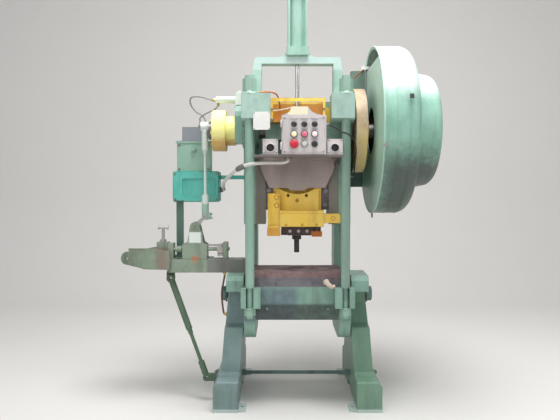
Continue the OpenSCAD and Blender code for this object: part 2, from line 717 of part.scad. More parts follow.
// The vee grooves of the three belts, cut in a rim of radius r
module belt_grooves(r) {
    for (x = belt_x) translate([x, 0, 0]) rotate([0, 90, 0]) rotate_extrude($fn = 96)
        polygon([[r - belt_depth, -6], [r + 1, -10], [r + 1, 10], [r - belt_depth, 6]]);
}
module flywheel() {
    color([0.40, 0.42, 0.42]) press() translate([0, 0, crank_z]) difference() {
        union() {
            difference() {
                rod_x(wheel_x, wheel_x + flywheel_w, flywheel_r);
                rod_x(wheel_x - 1, wheel_x + 38, flywheel_r - 62);
                rod_x(wheel_x + flywheel_w - 38, wheel_x + flywheel_w + 1, flywheel_r - 62);
            }
            rod_x(wheel_x, wheel_x + flywheel_w, 98);
        }
        rod_x(wheel_x - 1, wheel_x + flywheel_w + 1, journal_r - 6 + run);
        for (a = [0:60:300]) rotate([a, 0, 0]) rod_x(wheel_x, wheel_x + flywheel_w, 62, 0, 235);
        belt_grooves(flywheel_r);
    }
}
module motor_pulley() {
    color([0.42, 0.42, 0.42]) press() translate([0, motor_back, crank_z + motor_rise]) difference() {
        rod_x(wheel_x, wheel_x + flywheel_w, pulley_r);
        rod_x(wheel_x - 1, wheel_x + flywheel_w + 1, 19 + run);
        belt_grooves(pulley_r);
    }
}
module drive_belts() {
    inset = belt_depth - gap;
    color([0.10, 0.10, 0.10]) press() for (x = belt_x) side_plate(x - 5.4, x + 5.4) translate([0,
        crank_z]) difference() {
        polygon(belt_outline(flywheel_r, pulley_r, motor_back, motor_rise));
        polygon(belt_outline(flywheel_r - inset, pulley_r - inset, motor_back, motor_rise));
    }
}
// Guard: spun drum with a smaller drum on its face and a lobe round the pulley
guard_big_end = guard_x + 229;
guard_end = guard_x + 393;
function guard_profile(t) = let (r = guard_r - t, s = guard_small_r - t) concat([[0, guard_x + t], [r,
    guard_x + t]],
    arc(r - 84, guard_big_end - 84 - t, 84, 0, 68, 6), [[s + 20, guard_big_end - t]],
    arc(s - 70, guard_end - 70 - t, 70, 0, 80, 6), [[0, guard_end - t]]);
module guard_solid(t) {
    translate([0, 0, crank_z]) rotate([0, 90, 0]) rotate_extrude($fn = 96) polygon(guard_profile(t));
    side_plate(guard_x + t, wheel_x + flywheel_w + 34 - t) translate([0, crank_z])
        polygon(belt_outline(300, 118 - t, motor_back, motor_rise));
}
module flywheel_guard() {
    cut_top = crank_z + 424;
    color([0.62, 0.80, 0.73]) press() difference() {
        guard_solid(0);
        guard_solid(guard_t);
        rod_x(guard_x - 1, guard_x + guard_t + 1, 150, 0, crank_z);
        rod_x(guard_x - 1, guard_x + guard_t + 1, 40, motor_back, crank_z + motor_rise);
        // The face plate ends below the drum's top
        intersection() {
            rod_x(guard_x - 1, guard_x + guard_t + 1, guard_r - guard_t - 12, 0, crank_z);
            block([guard_x - 2, -guard_r, cut_top], [guard_x + guard_t + 2, guard_r, cut_top + 200]);
        }
    }
}
module motor() {
    color([0.30, 0.40, 0.38]) press() translate([0, motor_back, crank_z + motor_rise]) {
        difference() {
            union() {
                rod_x(150, 440, motor_r - 8);
                for (i = [0:15]) rotate([i * 22.5, 0, 0]) block([170, -3, motor_r - 20], [420, 3, motor_r]);
                rod_x(120, 152, motor_r - 14);
                rod_x(438, 458, motor_r - 6);
                rod_x(440, wheel_x + flywheel_w, 19);
                // Feet that reach the base plate, and the terminal box
                for (x = [180, 380]) block([x, -(motor_back - 414), -60], [x + 44, -50, 60]);
                block([230, -40, motor_r - 30], [340, 50, motor_r + 44]);
            }
            for (x = [202, 402], z = [-50, 50]) rod_y(-(motor_back - 413), -(motor_back - 440), 6, x, z);
        }
    }
}
module motor_base() {
    color([0.28, 0.37, 0.35]) press() union() {
        difference() {
            block([-frame_half, 400, 1400], [guard_x - gap, 414, crown_top + 23]);
            for (x = [-180, 60, 300]) front_plate(399, 415) polygon(concat(arc(x, 1560, 44, 180, 360, 6),
                arc(x, 1680, 44, 0, 180, 6)));
        }
        both_sides() side_plate(frame_half - 56, frame_half - 36) polygon([[413, 1410], [413, 1740],
            [440, 1700], [452, 1600], [440, 1410]]);
        block([270, 190, crown_top], [400, 401, crown_top + 22]);
        block([376, 190, crown_top], [474, 250, crown_top + 224]);
        block([446, 190, crown_top + 223], [474, 228, crown_top + 258]);
        block([446, 190, crown_top + 234], [566, 228, crown_top + 258]);
    }
}

// Covers at the front
tray_low = 1796;
tray_top = 1938;
module crank_guard() {
    t = 3;
    color([0.93, 0.78, 0.24]) press() difference() {
        union() {
            block([-tray_half, -300, tray_low], [tray_half, -119, tray_top]);
            block([tray_half - 1, -180, tray_low], [lug_in - gap, -177, tray_top - 40]);
        }
        block([-tray_half + t, -301, tray_low + t], [tray_half - t, -119 - t, tray_top + 1]);
        rod_z(tray_low - 1, tray_low + t + 1, piston_rod_d / 2 + 4, 0, -piston_reach);
        block([-62, -150, tray_low - 1], [62, -118, tray_low + 60]);
    }
    color([0.95, 0.86, 0.50]) press() {
        block([-tray_half, -304, tray_top - 22], [tray_half, -300, tray_top]);
        both_sides() block([tray_half - 16, -304, tray_low], [tray_half, -300, tray_top]);
    }
}
module apron() {
    color([0.52, 0.45, 0.43]) press() difference() {
        union() {
            front_plate(-172, -169) polygon([[-236, 1594], [236, 1594], [226, 1500], [176, 1394], [60,
                1394], [44, 1378],
                [-44, 1378], [-60, 1394], [-176, 1394], [-226, 1500]]);
            both_sides() block([206, -170, 1520], [234, -150, 1594]);
            front_plate(-180, -171) polygon([[-236, 1566], [236, 1566], [236, 1594], [-236, 1594]]);
        }
        both_sides() rod_y(-181, -149, 5, 220, 1580);
    }
}

// Operating box on its shelf, with a palm button box at each side
box_x = 31;
shelf_z = 1592;
box_front = -430;
palm_z = shelf_z + gap;
palm_pos = [-166, 214];
palm_button_z = palm_z + palm_w * 0.42;
arm_x = 250;
knob_z0 = 1651;
function knob_at(col, row) = [box_x + 2 + (col - 1) * knob_pitch_x, knob_z0 + (2 - row) * knob_pitch_z];
module control_box() {
    color([0.82, 0.80, 0.80]) press() difference() {
        union() {
            front_plate(box_front, box_front + box_d) polygon([[box_x - box_w / 2, shelf_z],
                [box_x + box_w / 2, shelf_z],
                [box_x + box_w / 2, shelf_z + box_h], [box_x + 76, shelf_z + box_h + 8], [box_x + 46,
                    shelf_z + box_h + 22],
                [box_x + 22, shelf_z + box_h + 52], [box_x - 70, shelf_z + box_h + 52], [box_x - 84,
                    shelf_z + box_h + 22],
                [box_x - 110, shelf_z + box_h + 8], [box_x - box_w / 2, shelf_z + box_h]]);
            // Raised door of the box
            front_plate(box_front - 5, box_front + 1) translate([box_x, shelf_z + box_h / 2])
                round_rect(box_w - 18, box_h - 16, 8);
            // Pilot lights in the middle row
            for (c = [0:2]) let (p = knob_at(c, 1)) {
                rod_y(box_front - 12, box_front, 19, p[0], p[1]);
                rod_y(box_front - 24, box_front - 11, 15, p[0], p[1]);
            }
            // Shelf and the two arms back to the frame
            block([-222, box_front + 4, shelf_z - 14], [264, box_front + box_d, shelf_z]);
            for (s = [-1, 1]) block([s * arm_x - 12, box_front + box_d - 60, shelf_z - 14],
                [s * arm_x + 12, -160, shelf_z]);
            block([-arm_x - 12, box_front + box_d - 60, shelf_z - 14], [-200, box_front + box_d, shelf_z]);
            for (s = [-1, 1]) block([s * arm_x - 12, -182, shelf_z - 60], [s * arm_x + 12, -150, shelf_z]);
        }
        for (c = [0:2]) let (p = knob_at(c, 0)) rod_y(box_front - 6, box_front + 40, 11 + run, p[0], p[1]);
        for (c = [0:2]) let (p = knob_at(c, 2)) rod_y(box_front - 6, box_front + 40, 11 + run, p[0], p[1]);
    }
}
module selector(col) {
    p = knob_at(col, 0);
    color([0.35, 0.34, 0.34]) press() union() {
        rod_y(box_front - 14, box_front - 5 - gap, 19, p[0], p[1]);
        rod_y(box_front - 10, box_front + 30, 11, p[0], p[1]);
        translate([p[0], 0, p[1]]) rotate([0, 30, 0]) block([-5, box_front - 32, -18], [5,
            box_front - 13, 18]);
    }
}
module selector_left() { selector(0); }
module selector_middle() { selector(1); }
module selector_right() { selector(2); }
// A push button: cap radius r, its cap stands off by its travel
module push(col, r, h) {
    p = knob_at(col, 2);
    union() {
        rod_y(box_front - 5 - push_travel - h, box_front - 5 - push_travel - gap, r, p[0], p[1]);
        rod_y(box_front - 8 - push_travel, box_front + 30, 11, p[0], p[1]);
    }
}
module stop_button() { color([0.80, 0.16, 0.22]) press() push(0, 25, 18); }
module start_button() { color([0.80, 0.82, 0.78]) press() push(1, 17, 11); }
module inch_button() { color([0.36, 0.33, 0.36]) press() push(2, 17, 11); }
module palm_boxes() {
    color([0.80, 0.78, 0.80]) press() for (x = palm_pos) difference() {
        front_plate(box_front + 14, box_front + box_d - 16) translate([x, palm_z + palm_w / 2])
            round_rect(palm_w, palm_w, 7);
        rod_y(box_front + 13, box_front + 60, 24, x, palm_button_z);
        rod_y(box_front + 13, box_front + 95, 8 + run, x, palm_button_z);
    }
}
module palm_button(x) {
    color([0.20, 0.19, 0.21]) press() union() {
        rod_y(box_front + 24, box_front + 50, 22, x, palm_button_z);
        rod_y(box_front + 49, box_front + 88, 8, x, palm_button_z);
    }
}
module palm_button_left() { palm_button(palm_pos[0]); }
module palm_button_right() { palm_button(palm_pos[1]); }

// Side feed: rail, tower, guide rods, gripper head and its drive from the crankshaft
tower_x = [-lever_x - 83, -lever_x + 79];
end_x = [-482, -452];
left_x = [-842, -806];
cheek_y = 38.5;
rod_y_pos = 20;
roller = [-1092, 938];
handle_x = -878;
module feed_base() {
    z1 = rail_top + 96;
    color([0.51, 0.56, 0.48]) press() difference() {
        union() {
            block([left_x[0], -60, rail_low], [-300, 60, rail_top]);
            block([left_x[0], 50, rail_top - 20], [-560, 130, rail_top]);
            // Tower: a box foot that tapers up to the pivot boss
            front_plate(-cheek_y - 10, cheek_y + 10) polygon(concat([[tower_x[0], rail_low + 20],
                [tower_x[1], rail_low + 20],
                [tower_x[1], z1], [tower_x[1] - 22, z1 + 12]], arc(-lever_x, lever_z, 32, 0, 180, 8),
                [[tower_x[0] + 34, z1 + 12], [tower_x[0], z1]]));
            block([end_x[0], -44, rail_top - 1], [end_x[1], 44, guide_z + 46]);
            block([left_x[0], -44, rail_top - 1], [left_x[1], 44, guide_z + 40]);
            for (y = [-rod_y_pos, rod_y_pos]) rod_x(left_x[0] - 8, end_x[1] + 10, guide_d / 2, y, guide_z);
            // Stop collars on the guide rods
            for (y = [-rod_y_pos, rod_y_pos]) rod_x(-790, -752, 19, y, guide_z);
            // Clamp block and the straightener's two cheeks at the entry
            block([-914, -40, rail_low + 26], [left_x[0] + 1, 40, 1039]);
            both_sides_y() front_plate(70, 82) polygon(concat([[left_x[0] + 20, rail_low + 20],
                [left_x[0] + 20, 986]],
                [[-930, 1000]], arc(roller[0], roller[1], 46, 60, 230, 9), [[-980, rail_low + 24]]));
            block([-1000, -71, rail_low + 24], [left_x[0] + 1, 71, rail_low + 50]);
            rod_y(-71, 71, 26, -985, 944);
            block([-1090, -71, 990], [-900, -55, 1002]);
            for (y = [-71, 71]) block([left_x[0] - 6, min(y, y * 0.8), rail_low + 20], [left_x[0] + 20,
                max(y, y * 0.8), rail_top]);
        }
        // Inside of the tower, open at the top and to the right over the rods
        front_plate(-cheek_y, cheek_y) polygon([[tower_x[0] + 10, rail_top], [tower_x[1] - 10, rail_top],
            [tower_x[1] - 10, guide_z + 14], [tower_x[1] + 1, guide_z + 14], [tower_x[1] + 1, lever_z + 40],
            [tower_x[0] + 10, lever_z + 40]]);
        rod_y(-83, 83, 8 + run, roller[0], roller[1]);
        rod_z(930, 1040, 10 + run, handle_x, 0);
        for (x = [tower_x[0] + 27, tower_x[1] - 27]) rod_y(-60, -cheek_y - 4, 6, x, rail_low + 40);
        for (x = [-420, -360]) rod_z(rail_low - 1, rail_top + 1, 9, x, 40);
    }
    color([0.60, 0.60, 0.58]) press() difference() {
        rod_y(-cheek_y - 16, cheek_y + 16, 10, -lever_x, lever_z);
        rod_y(-cheek_y - 17, -cheek_y - 12, 4, -lever_x, lever_z);
    }
    color([0.60, 0.60, 0.58]) press() for (y = [-rod_y_pos, rod_y_pos]) rod_x(tower_x[0] + 1,
        tower_x[1] - 1, guide_d / 2, y, guide_z);
}
module both_sides_y() { children(); mirror([0, 1, 0]) children(); }
module feed_crank() {
    color([0.55, 0.55, 0.54]) press() difference() {
        union() {
            rod_x(-shaft_left - 12, -shaft_left + 9, 58, 0, crank_z);
            rod_x(-feed_rod_x - 28, -shaft_left - 11, 12, 0, crank_z + feed_throw);
            rod_x(-feed_rod_x - 32, -feed_rod_x - 26, 19, 0, crank_z + feed_throw);
        }
        rod_x(-shaft_left, -shaft_left + 10, journal_r - 10 + 0.02, 0, crank_z);
    }
}
module feed_rod() {
    eye = crank_z + feed_throw;
    color([0.55, 0.70, 0.60]) press() difference() {
        union() {
            rod_x(-feed_rod_x - 25.5, -feed_rod_x + 25.5, 29, 0, eye);
            rod_z(1640, eye - 10, 21, -feed_rod_x, 0);
            rod_z(1618, 1642, 15, -feed_rod_x, 0);
            rod_z(1330, 1620, 9, -feed_rod_x, 0);
            rod_z(rod_pin_z - 20, 1346, 23, -feed_rod_x, 0);
            rod_z(1345, 1356, 15, -feed_rod_x, 0);
            block([-feed_rod_x, -12, rod_pin_z - 18], [-feed_rod_x + 34, 12, rod_pin_z + 26]);
            for (z = [rod_pin_z - 8, rod_pin_z + 16]) rod_x(-feed_rod_x + 33, -feed_rod_x + 46, 8, 0, z);
        }
        rod_x(-feed_rod_x - 30, -feed_rod_x + 30, 12 + run, 0, eye);
        block([-feed_rod_x + 10, -2, rod_pin_z - 21], [-feed_rod_x + 35, 2, rod_pin_z + 27]);
    }
}
module feed_lever() {
    swing = lever_swing / 2;
    tip = [-lever_x + lower_arm * sin(swing), lever_z - lower_arm * cos(swing)];
    out = [-feed_rod_x, rod_pin_z];
    color([0.62, 0.62, 0.58]) press() difference() {
        union() {
            rod_y(-cheek_y + 0.5, cheek_y - 0.5, 21, -lever_x, lever_z);
            rod_y(-37, -27, 15, out[0], out[1]);
            rod_y(-37, -27, 12, tip[0], tip[1]);
            rod_y(-28, -12, 7, tip[0], tip[1]);
            arm_bar([-lever_x, lever_z], out, 10);
            arm_bar([-lever_x, lever_z], tip, 9);
        }
        rod_y(-60, 60, 10 + run, -lever_x, lever_z);
        rod_y(-60, 60, 5, out[0], out[1]);
    }
}
// A flat bar of half width w between two points of the front outline
module arm_bar(a, b, w) {
    d = b - a;
    n = [-d[1], d[0]] / norm(d) * w;
    front_plate(-37, -27) polygon([a + n * 1.7, b + n, b - n, a - n * 1.7]);
}
module feed_head() {
    head_x = [end_x[0] - 36, end_x[0] - 1.5];
    fork = -lever_x + lower_arm * sin(lever_swing / 2);
    color([0.60, 0.55, 0.52]) press() difference() {
        union() {
            block([head_x[0], -46, guide_z - 44], [head_x[1], 46, guide_z + 18]);
            block([head_x[0] + 6, -34, guide_z + 17], [head_x[1] - 6, 34, guide_z + 34]);
            block([fork - 16, -25, guide_z + 20], [head_x[0] + 8, -12, guide_z + 34]);
            for (s = [-1, 1]) block([fork + s * 11.9 - 4.2, -25, guide_z + 33], [fork + s * 11.9 + 4.2,
                -12, guide_z + 80]);
        }
        for (y = [-rod_y_pos, rod_y_pos]) rod_x(head_x[0] - 1, head_x[1] + 1, guide_d / 2 + run, y,
            guide_z);
        // Slit that grips the strip
        block([head_x[0] - 1, -47, guide_z - 26], [head_x[1] + 1, 30, guide_z - 22]);
    }
}
module feed_roller() {
    color([0.86, 0.86, 0.84]) press() union() {
        rod_y(-68, 68, 27, roller[0], roller[1]);
        rod_y(-94, 94, 8, roller[0], roller[1]);
    }
}
module t_handle() {
    color([0.70, 0.68, 0.66]) press() union() {
        rod_z(936, 1132, 10, handle_x, 0);
        rod_x(handle_x - 30, handle_x + 30, 8, 0, 1134);
        both_sides_t() rod_x(handle_x - 34, handle_x - 22, 13, 0, 1134);
        rod_z(1039 + gap, 1056, 20, handle_x, 0);
    }
}
module both_sides_t() { children(); translate([2 * handle_x, 0, 0]) mirror([1, 0, 0]) children(); }
strut_top = [-829, 0, 800];
strut_low = [-588, -64, 160];
module feed_strut() {
    d = strut_low - strut_top;
    len = norm(d);
    color([0.42, 0.55, 0.47]) press() difference() {
        union() {
            translate(strut_top) rotate([0, acos(d[2] / len), atan2(d[1], d[0])]) {
                cylinder(r = 21, h = len * 0.52);
                cylinder(r = 12, h = len);
                translate([0, 0, len * 0.52]) cylinder(r = 17, h = 30, $fn = 6);
                translate([0, 0, len - 110]) cylinder(r = 20, h = 92);
            }
            rod_y(-24, 24, 26, strut_top[0], strut_top[2]);
            block([strut_top[0] - 26, -14, strut_top[2]], [strut_top[0] + 26, 14, rail_low]);
            rod_y(strut_low[1] - 18, strut_low[1] + 18, 24, strut_low[0], strut_low[2]);
            block([strut_low[0], strut_low[1] - 12, strut_low[2] - 24], [-foot_in - foot_w,
                strut_low[1] + 12, strut_low[2] + 24]);
            block([-foot_in - foot_w - 12, strut_low[1] - 34, 96], [-foot_in - foot_w, strut_low[1] + 34,
                186 - 32]);
        }
        block([-foot_in - foot_w, -400, 0], [0, 400, 700]);
        for (p = [strut_top, strut_low]) rod_y(p[1] - 40, p[1] + 40, 9, p[0], p[2]);
    }
}

// Boxes behind the feed on their post
valve_mid = [-670.5, 1403];
module valve_box() {
    color([0.27, 0.71, 0.65]) press() difference() {
        union() {
            front_plate(75, 200) translate(valve_mid) round_rect(311, 206, 14);
            front_plate(66, 76) translate(valve_mid) round_rect(300, 196, 12);
            block([-806, 92, rail_top], [-762, 130, 1304]);
            block([-820, 80, rail_top], [-748, 130, rail_top + 12]);
            block([-516, 110, 1452], [-frame_half, 136, 1478]);
            block([-frame_half - 10, 86, 1424], [-frame_half, 160, 1506]);
        }
        front_plate(60, 74) translate([-650, 1396]) round_rect(220, 120, 8);
    }
}
module junction_box() {
    color([0.62, 0.72, 0.68]) press() union() {
        block([-799, 88, 1506], [-574, 188, 1706]);
        block([-806, 82, 1694], [-567, 194, 1708]);
        block([-765, 96, 1707], [-629, 182, 1802]);
        rod_y(70, 89, 16, -684, 1650);
        rod_y(62, 72, 10, -684, 1650);
        // Sockets for the two air hoses
        rod_z(1801, 1816, 12, -650, 140);
        rod_x(-630, -596, 20, 140, 1772);
        rod_z(1770, 1800, 14, -610, 140);
    }
}

// Cords: each runs through its own points
function smooth(p, n) = [for (i = [0:len(p) - 2]) for (k = [0:n - 1]) let (t = k / n,
    a = p[max(i - 1, 0)], b = p[i], c = p[i + 1], d = p[min(i + 2, len(p) - 1)])
    0.5 * (2 * b + (c - a) * t + (2 * a - 5 * b + 4 * c - d) * t * t + (3 * b - a - 3 * c + d) * t * t * t)];
function unit(v) = v / norm(v);
function square_to(t) = unit(abs(t[2]) < 0.9 ? cross(t, [0, 0, 1]) : cross(t, [1, 0, 0]));
function carried(u, t) = unit(u - (u * t) * t);
function frames(t, i = 0, u = undef, out = []) = i == len(t) ? out :
    let (v = i == 0 ? square_to(t[0]) : carried(u, t[i])) frames(t, i + 1, v, concat(out, [v]));
module tube(points, r, sides, steps) {
    p = concat(smooth(points, steps), [points[len(points) - 1]]);
    n = len(p);
    last = len(points) - 1;
    t = [for (i = [0:n - 1]) unit(i == 0 ? points[1] - points[0] : i == n - 1 ? points[last] - points[last - 1]
        : p[i + 1] - p[i - 1])];
    u = frames(t);
    ring = [for (i = [0:n - 1]) for (k = [0:sides - 1]) let (a = 360 * k / sides)
        p[i] + r * (cos(a) * u[i] + sin(a) * cross(t[i], u[i]))];
    polyhedron(ring, concat([[for (k = [0:sides - 1]) k]], [[for (k = [0:sides - 1]) n * sides - 1 - k]],
        [for (i = [0:n - 2], k = [0:sides - 1]) let (k2 = (k + 1) % sides)
            [i * sides + k, (i + 1) * sides + k, (i + 1) * sides + k2, i * sides + k2]]));
}
conduit_route = [[-60, -345, 1578], [-60, -345, 1562], [-78, -344, 1550], [-112, -340, 1546], [-190,
    -332, 1546],
    [-300, -330, 1534], [-370, -290, 1506], [-430, -170, 1466], [-474, -30, 1430], [-488, 60, 1402],
        [-486, 104, 1384],
    [-496, 120, 1380], [-515, 120, 1380]];
long_hose_route = [[-534, 0, 1968], [-552, 0, 1968], [-620, 20, 1990], [-690, 50, 1994], [-708, 90, 1960],
    [-680, 118, 1912], [-632, 136, 1882], [-610, 140, 1840], [-610, 140, 1800]];
short_hose_route = [[-512, 0, 1946], [-512, 0, 1934], [-540, 40, 1912], [-600, 90, 1892], [-646, 130, 1868],
    [-650, 140, 1840], [-650, 140, 1816]];
palm_cable_route = [[162, -380, 1768], [180, -380, 1768], [226, -372, 1748], [258, -364, 1728], [300,
    -344, 1716],
    [336, -322, 1680], [352, -300, 1630], [354, -240, 1560], [356, -175, 1496], [355, -145, 1474], [350,
        -136, 1469],
    [337, -135, 1468]];
feed_hose_route = [[-470, -40, 843.5], [-470, -40, 826], [-478, -44, 780], [-488, -50, 720], [-488, -52,
    670],
    [-483, -50, 620], [-478, -46, 584], [-472.5, -46, 571], [-457.5, -46, 570]];
module conduit() { color([0.88, 0.88, 0.86]) press() tube(conduit_route, 11, 10, 5); }
module air_hose_long() { color([0.62, 0.60, 0.62]) press() tube(long_hose_route, 6, 8, 6); }
module air_hose_short() { color([0.62, 0.60, 0.62]) press() tube(short_hose_route, 5, 8, 6); }
module palm_cable() { color([0.12, 0.14, 0.14]) press() tube(palm_cable_route, 5, 8, 6); }
module feed_hose() { color([0.42, 0.32, 0.26]) press() tube(feed_hose_route, 6, 8, 5); }

left_leg();
right_leg();
leg_fasteners();
frame();
bolster();
bolster_top_plate();
tie_rods();
tie_rod_nuts();
main_bushes();
crankshaft();
connecting_rod();
rod_cap();
adjusting_screw();
slide();
gibs();
slide_clamp_block();
slide_bracket();
knockout_bar();
tool_plate();
yoke();
cylinder_heads();
cylinder_tube();
cylinder_tie_rods();
balance_piston();
brake_housing();
exhaust_muffler();
clutch_disc();
flywheel();
flywheel_guard();
motor();
motor_base();
motor_pulley();
drive_belts();
crank_guard();
apron();
control_box();
selector_left();
selector_middle();
selector_right();
stop_button();
start_button();
inch_button();
palm_boxes();
palm_button_left();
palm_button_right();
conduit();
junction_box();
valve_box();
feed_base();
feed_crank();
feed_rod();
feed_lever();
feed_head();
feed_roller();
t_handle();
feed_strut();
air_hose_long();
air_hose_short();
palm_cable();
feed_hose();
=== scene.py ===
# Stamping press: finishes, small parts, cords, floor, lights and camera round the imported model
import math

import bmesh
import bpy
import numpy as np
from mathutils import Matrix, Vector


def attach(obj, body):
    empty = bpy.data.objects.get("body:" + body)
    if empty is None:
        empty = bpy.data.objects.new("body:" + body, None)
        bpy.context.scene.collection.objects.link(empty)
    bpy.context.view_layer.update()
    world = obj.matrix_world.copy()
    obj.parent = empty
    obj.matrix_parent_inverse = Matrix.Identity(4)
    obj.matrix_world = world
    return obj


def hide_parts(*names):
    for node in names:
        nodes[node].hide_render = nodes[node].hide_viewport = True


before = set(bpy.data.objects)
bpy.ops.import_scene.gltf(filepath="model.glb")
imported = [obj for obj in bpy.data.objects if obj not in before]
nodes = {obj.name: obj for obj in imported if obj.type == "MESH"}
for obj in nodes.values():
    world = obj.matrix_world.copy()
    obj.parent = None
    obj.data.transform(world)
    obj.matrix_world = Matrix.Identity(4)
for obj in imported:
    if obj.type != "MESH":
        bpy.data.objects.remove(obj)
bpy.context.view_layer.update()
# The crank axis in millimetres, its depth about the anchor holes and its height over the floor. The drawing
# counts depths from this axis and heights from the floor
crankY, crankZ = -170, 1766
signs = (-1, 1)  # left and right, or lower and upper
print("frame loaded:", len(nodes), "nodes")


# Shapes, as arrays of points and faces in millimetres
def toRow(points):
    # millimetres about the crank axis become metres about the anchor holes
    return (np.asarray(points, float) + (0, crankY, 0)) / 1000


def gridFaces(rows, cols, wrap):
    # quads of a rows x cols grid; wrap joins the last column to the first
    i, j = np.meshgrid(np.arange(rows - 1), np.arange(cols if wrap else cols - 1), indexing="ij")
    k = (j + 1) % cols
    return np.stack([i * cols + j, i * cols + k, (i + 1) * cols + k, (i + 1) * cols + j], -1).reshape(-1, 4)


def turned(profile, centre, axis, sides):
    # a ring of radius r at height h along the axis, for each (h, r) of the profile
    h, r = np.asarray(profile, float).T
    a = np.linspace(0, 2 * np.pi, sides, endpoint=False)
    u, v, w = r[:, None] * np.cos(a), r[:, None] * np.sin(a), np.repeat(h[:, None], sides, 1)
    order = {"x": (w, u, v), "y": (v, w, u), "z": (u, v, w)}[axis]
    return np.stack(order, -1).reshape(-1, 3) + np.asarray(centre, float), gridFaces(len(h), sides, True)


def directions(p):
    # unit tangent at each point, and two unit vectors square to it and to each other
    t = np.gradient(p, axis=0)
    t /= np.linalg.norm(t, axis=1)[:, None]
    mean = np.abs(t).mean(0)
    u = np.cross(t, np.eye(3)[int(np.argmin(mean))])
    u /= np.linalg.norm(u, axis=1)[:, None]
    return t, u, np.cross(t, u)


def tube(path, radius, sides, capped=True):
    # circle of the given radius, one value or one for each point, carried square along the path
    p = np.asarray(path, float)
    t, u, v = directions(p)
    r = np.broadcast_to(np.asarray(radius, float), len(p))[:, None, None]
    a = np.linspace(0, 2 * np.pi, sides, endpoint=False)
    ring = p[:, None] + r * (np.cos(a)[None, :, None] * u[:, None] + np.sin(a)[None, :, None] * v[:, None])
    if capped:  # both ends close on their middle points
        ring = np.concatenate([np.repeat(p[:1, None], sides, 1), ring, np.repeat(p[-1:, None], sides, 1)])
    return ring.reshape(-1, 3), gridFaces(len(ring), sides, True)


def smoothPath(points, steps):
    # Catmull-Rom curve: each stretch between two points is a cubic through them, steps parts long
    p = np.asarray(points, float)
    q = np.concatenate([p[:1], p, p[-1:]])
    a, b, c, d = q[:-3], q[1:-2], q[2:-1], q[3:]
    t = (np.arange(steps) / steps)[None, :, None]
    a, b, c, d = (x[:, None] for x in (a, b, c, d))
    s = 0.5 * (2 * b + (c - a) * t + (2 * a - 5 * b + 4 * c - d) * t**2 + (3 * b - a - 3 * c + d) * t**3)
    return np.concatenate([s.reshape(-1, 3), p[-1:]])


def plate(outline, low, high, edge):
    # an outline of (x, z) points carried in y from low to high, with a chamfer of the given edge
    o = np.asarray(outline, float)
    mid = (o.min(0) + o.max(0)) / 2
    size = (o.max(0) - o.min(0)) / 2
    inner = mid + (o - mid) * (1 - edge / size)
    levels = [(low, mid + (o - mid) * 0), (low, inner), (low + edge, o), (high - edge, o), (high, inner),
              (high, mid + (o - mid) * 0)]
    rings = [np.insert(ring, 1, level, axis=1) for level, ring in levels]
    return np.concatenate(rings), gridFaces(len(rings), len(o), True)


def roundOutline(cx, cz, w, h, r, n=6):
    # rectangle w x h about (cx, cz) with quarter circles of radius r at its corners
    a = np.linspace(0, np.pi / 2, n)
    corners = [(1, 1, 0), (-1, 1, 1), (-1, -1, 2), (1, -1, 3)]
    return np.concatenate([np.stack([cx + sx * (w / 2 - r) + r * np.cos(a + q * np.pi / 2),
                                     cz + sz * (h / 2 - r) + r * np.sin(a + q * np.pi / 2)], -1)
                           for sx, sz, q in corners])


def together(*shapes):
    # several (points, faces) shapes as one: each one's faces count on from the points before it
    starts = np.cumsum([0] + [len(points) for points, faces in shapes[:-1]])
    return (np.concatenate([points for points, faces in shapes]),
            np.concatenate([faces + start for (points, faces), start in zip(shapes, starts)]))


def makePiece(name, shape, body, look, slotName, sharp=35, replaced=()):
    # a mesh from points and faces, doubles merged, faces turned outwards, riding on its body
    points, faces = shape
    mesh = bpy.data.meshes.new(name)
    mesh.from_pydata(toRow(points).tolist(), [], faces.tolist())
    work = bmesh.new()
    work.from_mesh(mesh)
    bmesh.ops.remove_doubles(work, verts=work.verts, dist=2e-6)
    bmesh.ops.recalc_face_normals(work, faces=work.faces)
    work.to_mesh(mesh)
    work.free()
    mesh.shade_smooth()
    mesh.set_sharp_from_angle(angle=math.radians(sharp))
    piece = bpy.data.objects.new(name, mesh)
    bpy.context.scene.collection.objects.link(piece)
    mesh.materials.append(looks[look])
    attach(piece, body)
    if replaced:
        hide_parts(*replaced)
    return piece


def hexHead(centre, across, tall):
    # hexagon prism with a chamfered top on a round washer, both standing out to the front, towards -y
    r = across / math.sqrt(3)  # half of what it measures across its corners
    head = np.array([(2, 0), (2, r), (2 + tall * 0.8, r), (2 + tall, r * 0.86), (2 + tall, 0)])
    washer = np.array([(-1, 0), (-1, r * 1.35), (2.5, r * 1.35), (2.5, 0)])
    return together(turned(head * (-1, 1), centre, "y", 6), turned(washer * (-1, 1), centre, "y", 20))


def capScrew(centre, r, tall):
    # round head with a turned recess, standing out to the front, towards -y
    rim = [(0, 0), (0, r), (tall * 0.88, r), (tall, r * 0.9)]
    recess = [(tall, r * 0.52), (tall * 0.5, r * 0.5), (tall * 0.45, 0)]
    head = np.array(rim + recess)
    return turned(head * (-1, 1), centre, "y", 18)


# Shader groups: each has named inputs and outputs and is placed in every finish that uses it
socketKinds = {1: "NodeSocketFloat", 3: "NodeSocketVector", 4: "NodeSocketColor"}


def newGroup(name, inputs, outputs):
    # a group with these inputs and outputs; how many numbers an input's value has gives its kind of socket
    group = bpy.data.node_groups.new(name, "ShaderNodeTree")
    for label, value in inputs.items():
        socket = group.interface.new_socket(label, in_out="INPUT", socket_type=socketKinds[np.size(value)])
        socket.default_value = value
    for label in outputs:
        kind = socketKinds[4 if label == "Color" else 1]
        group.interface.new_socket(label, in_out="OUTPUT", socket_type=kind)
    return group, group.nodes.new("NodeGroupInput"), group.nodes.new("NodeGroupOutput")


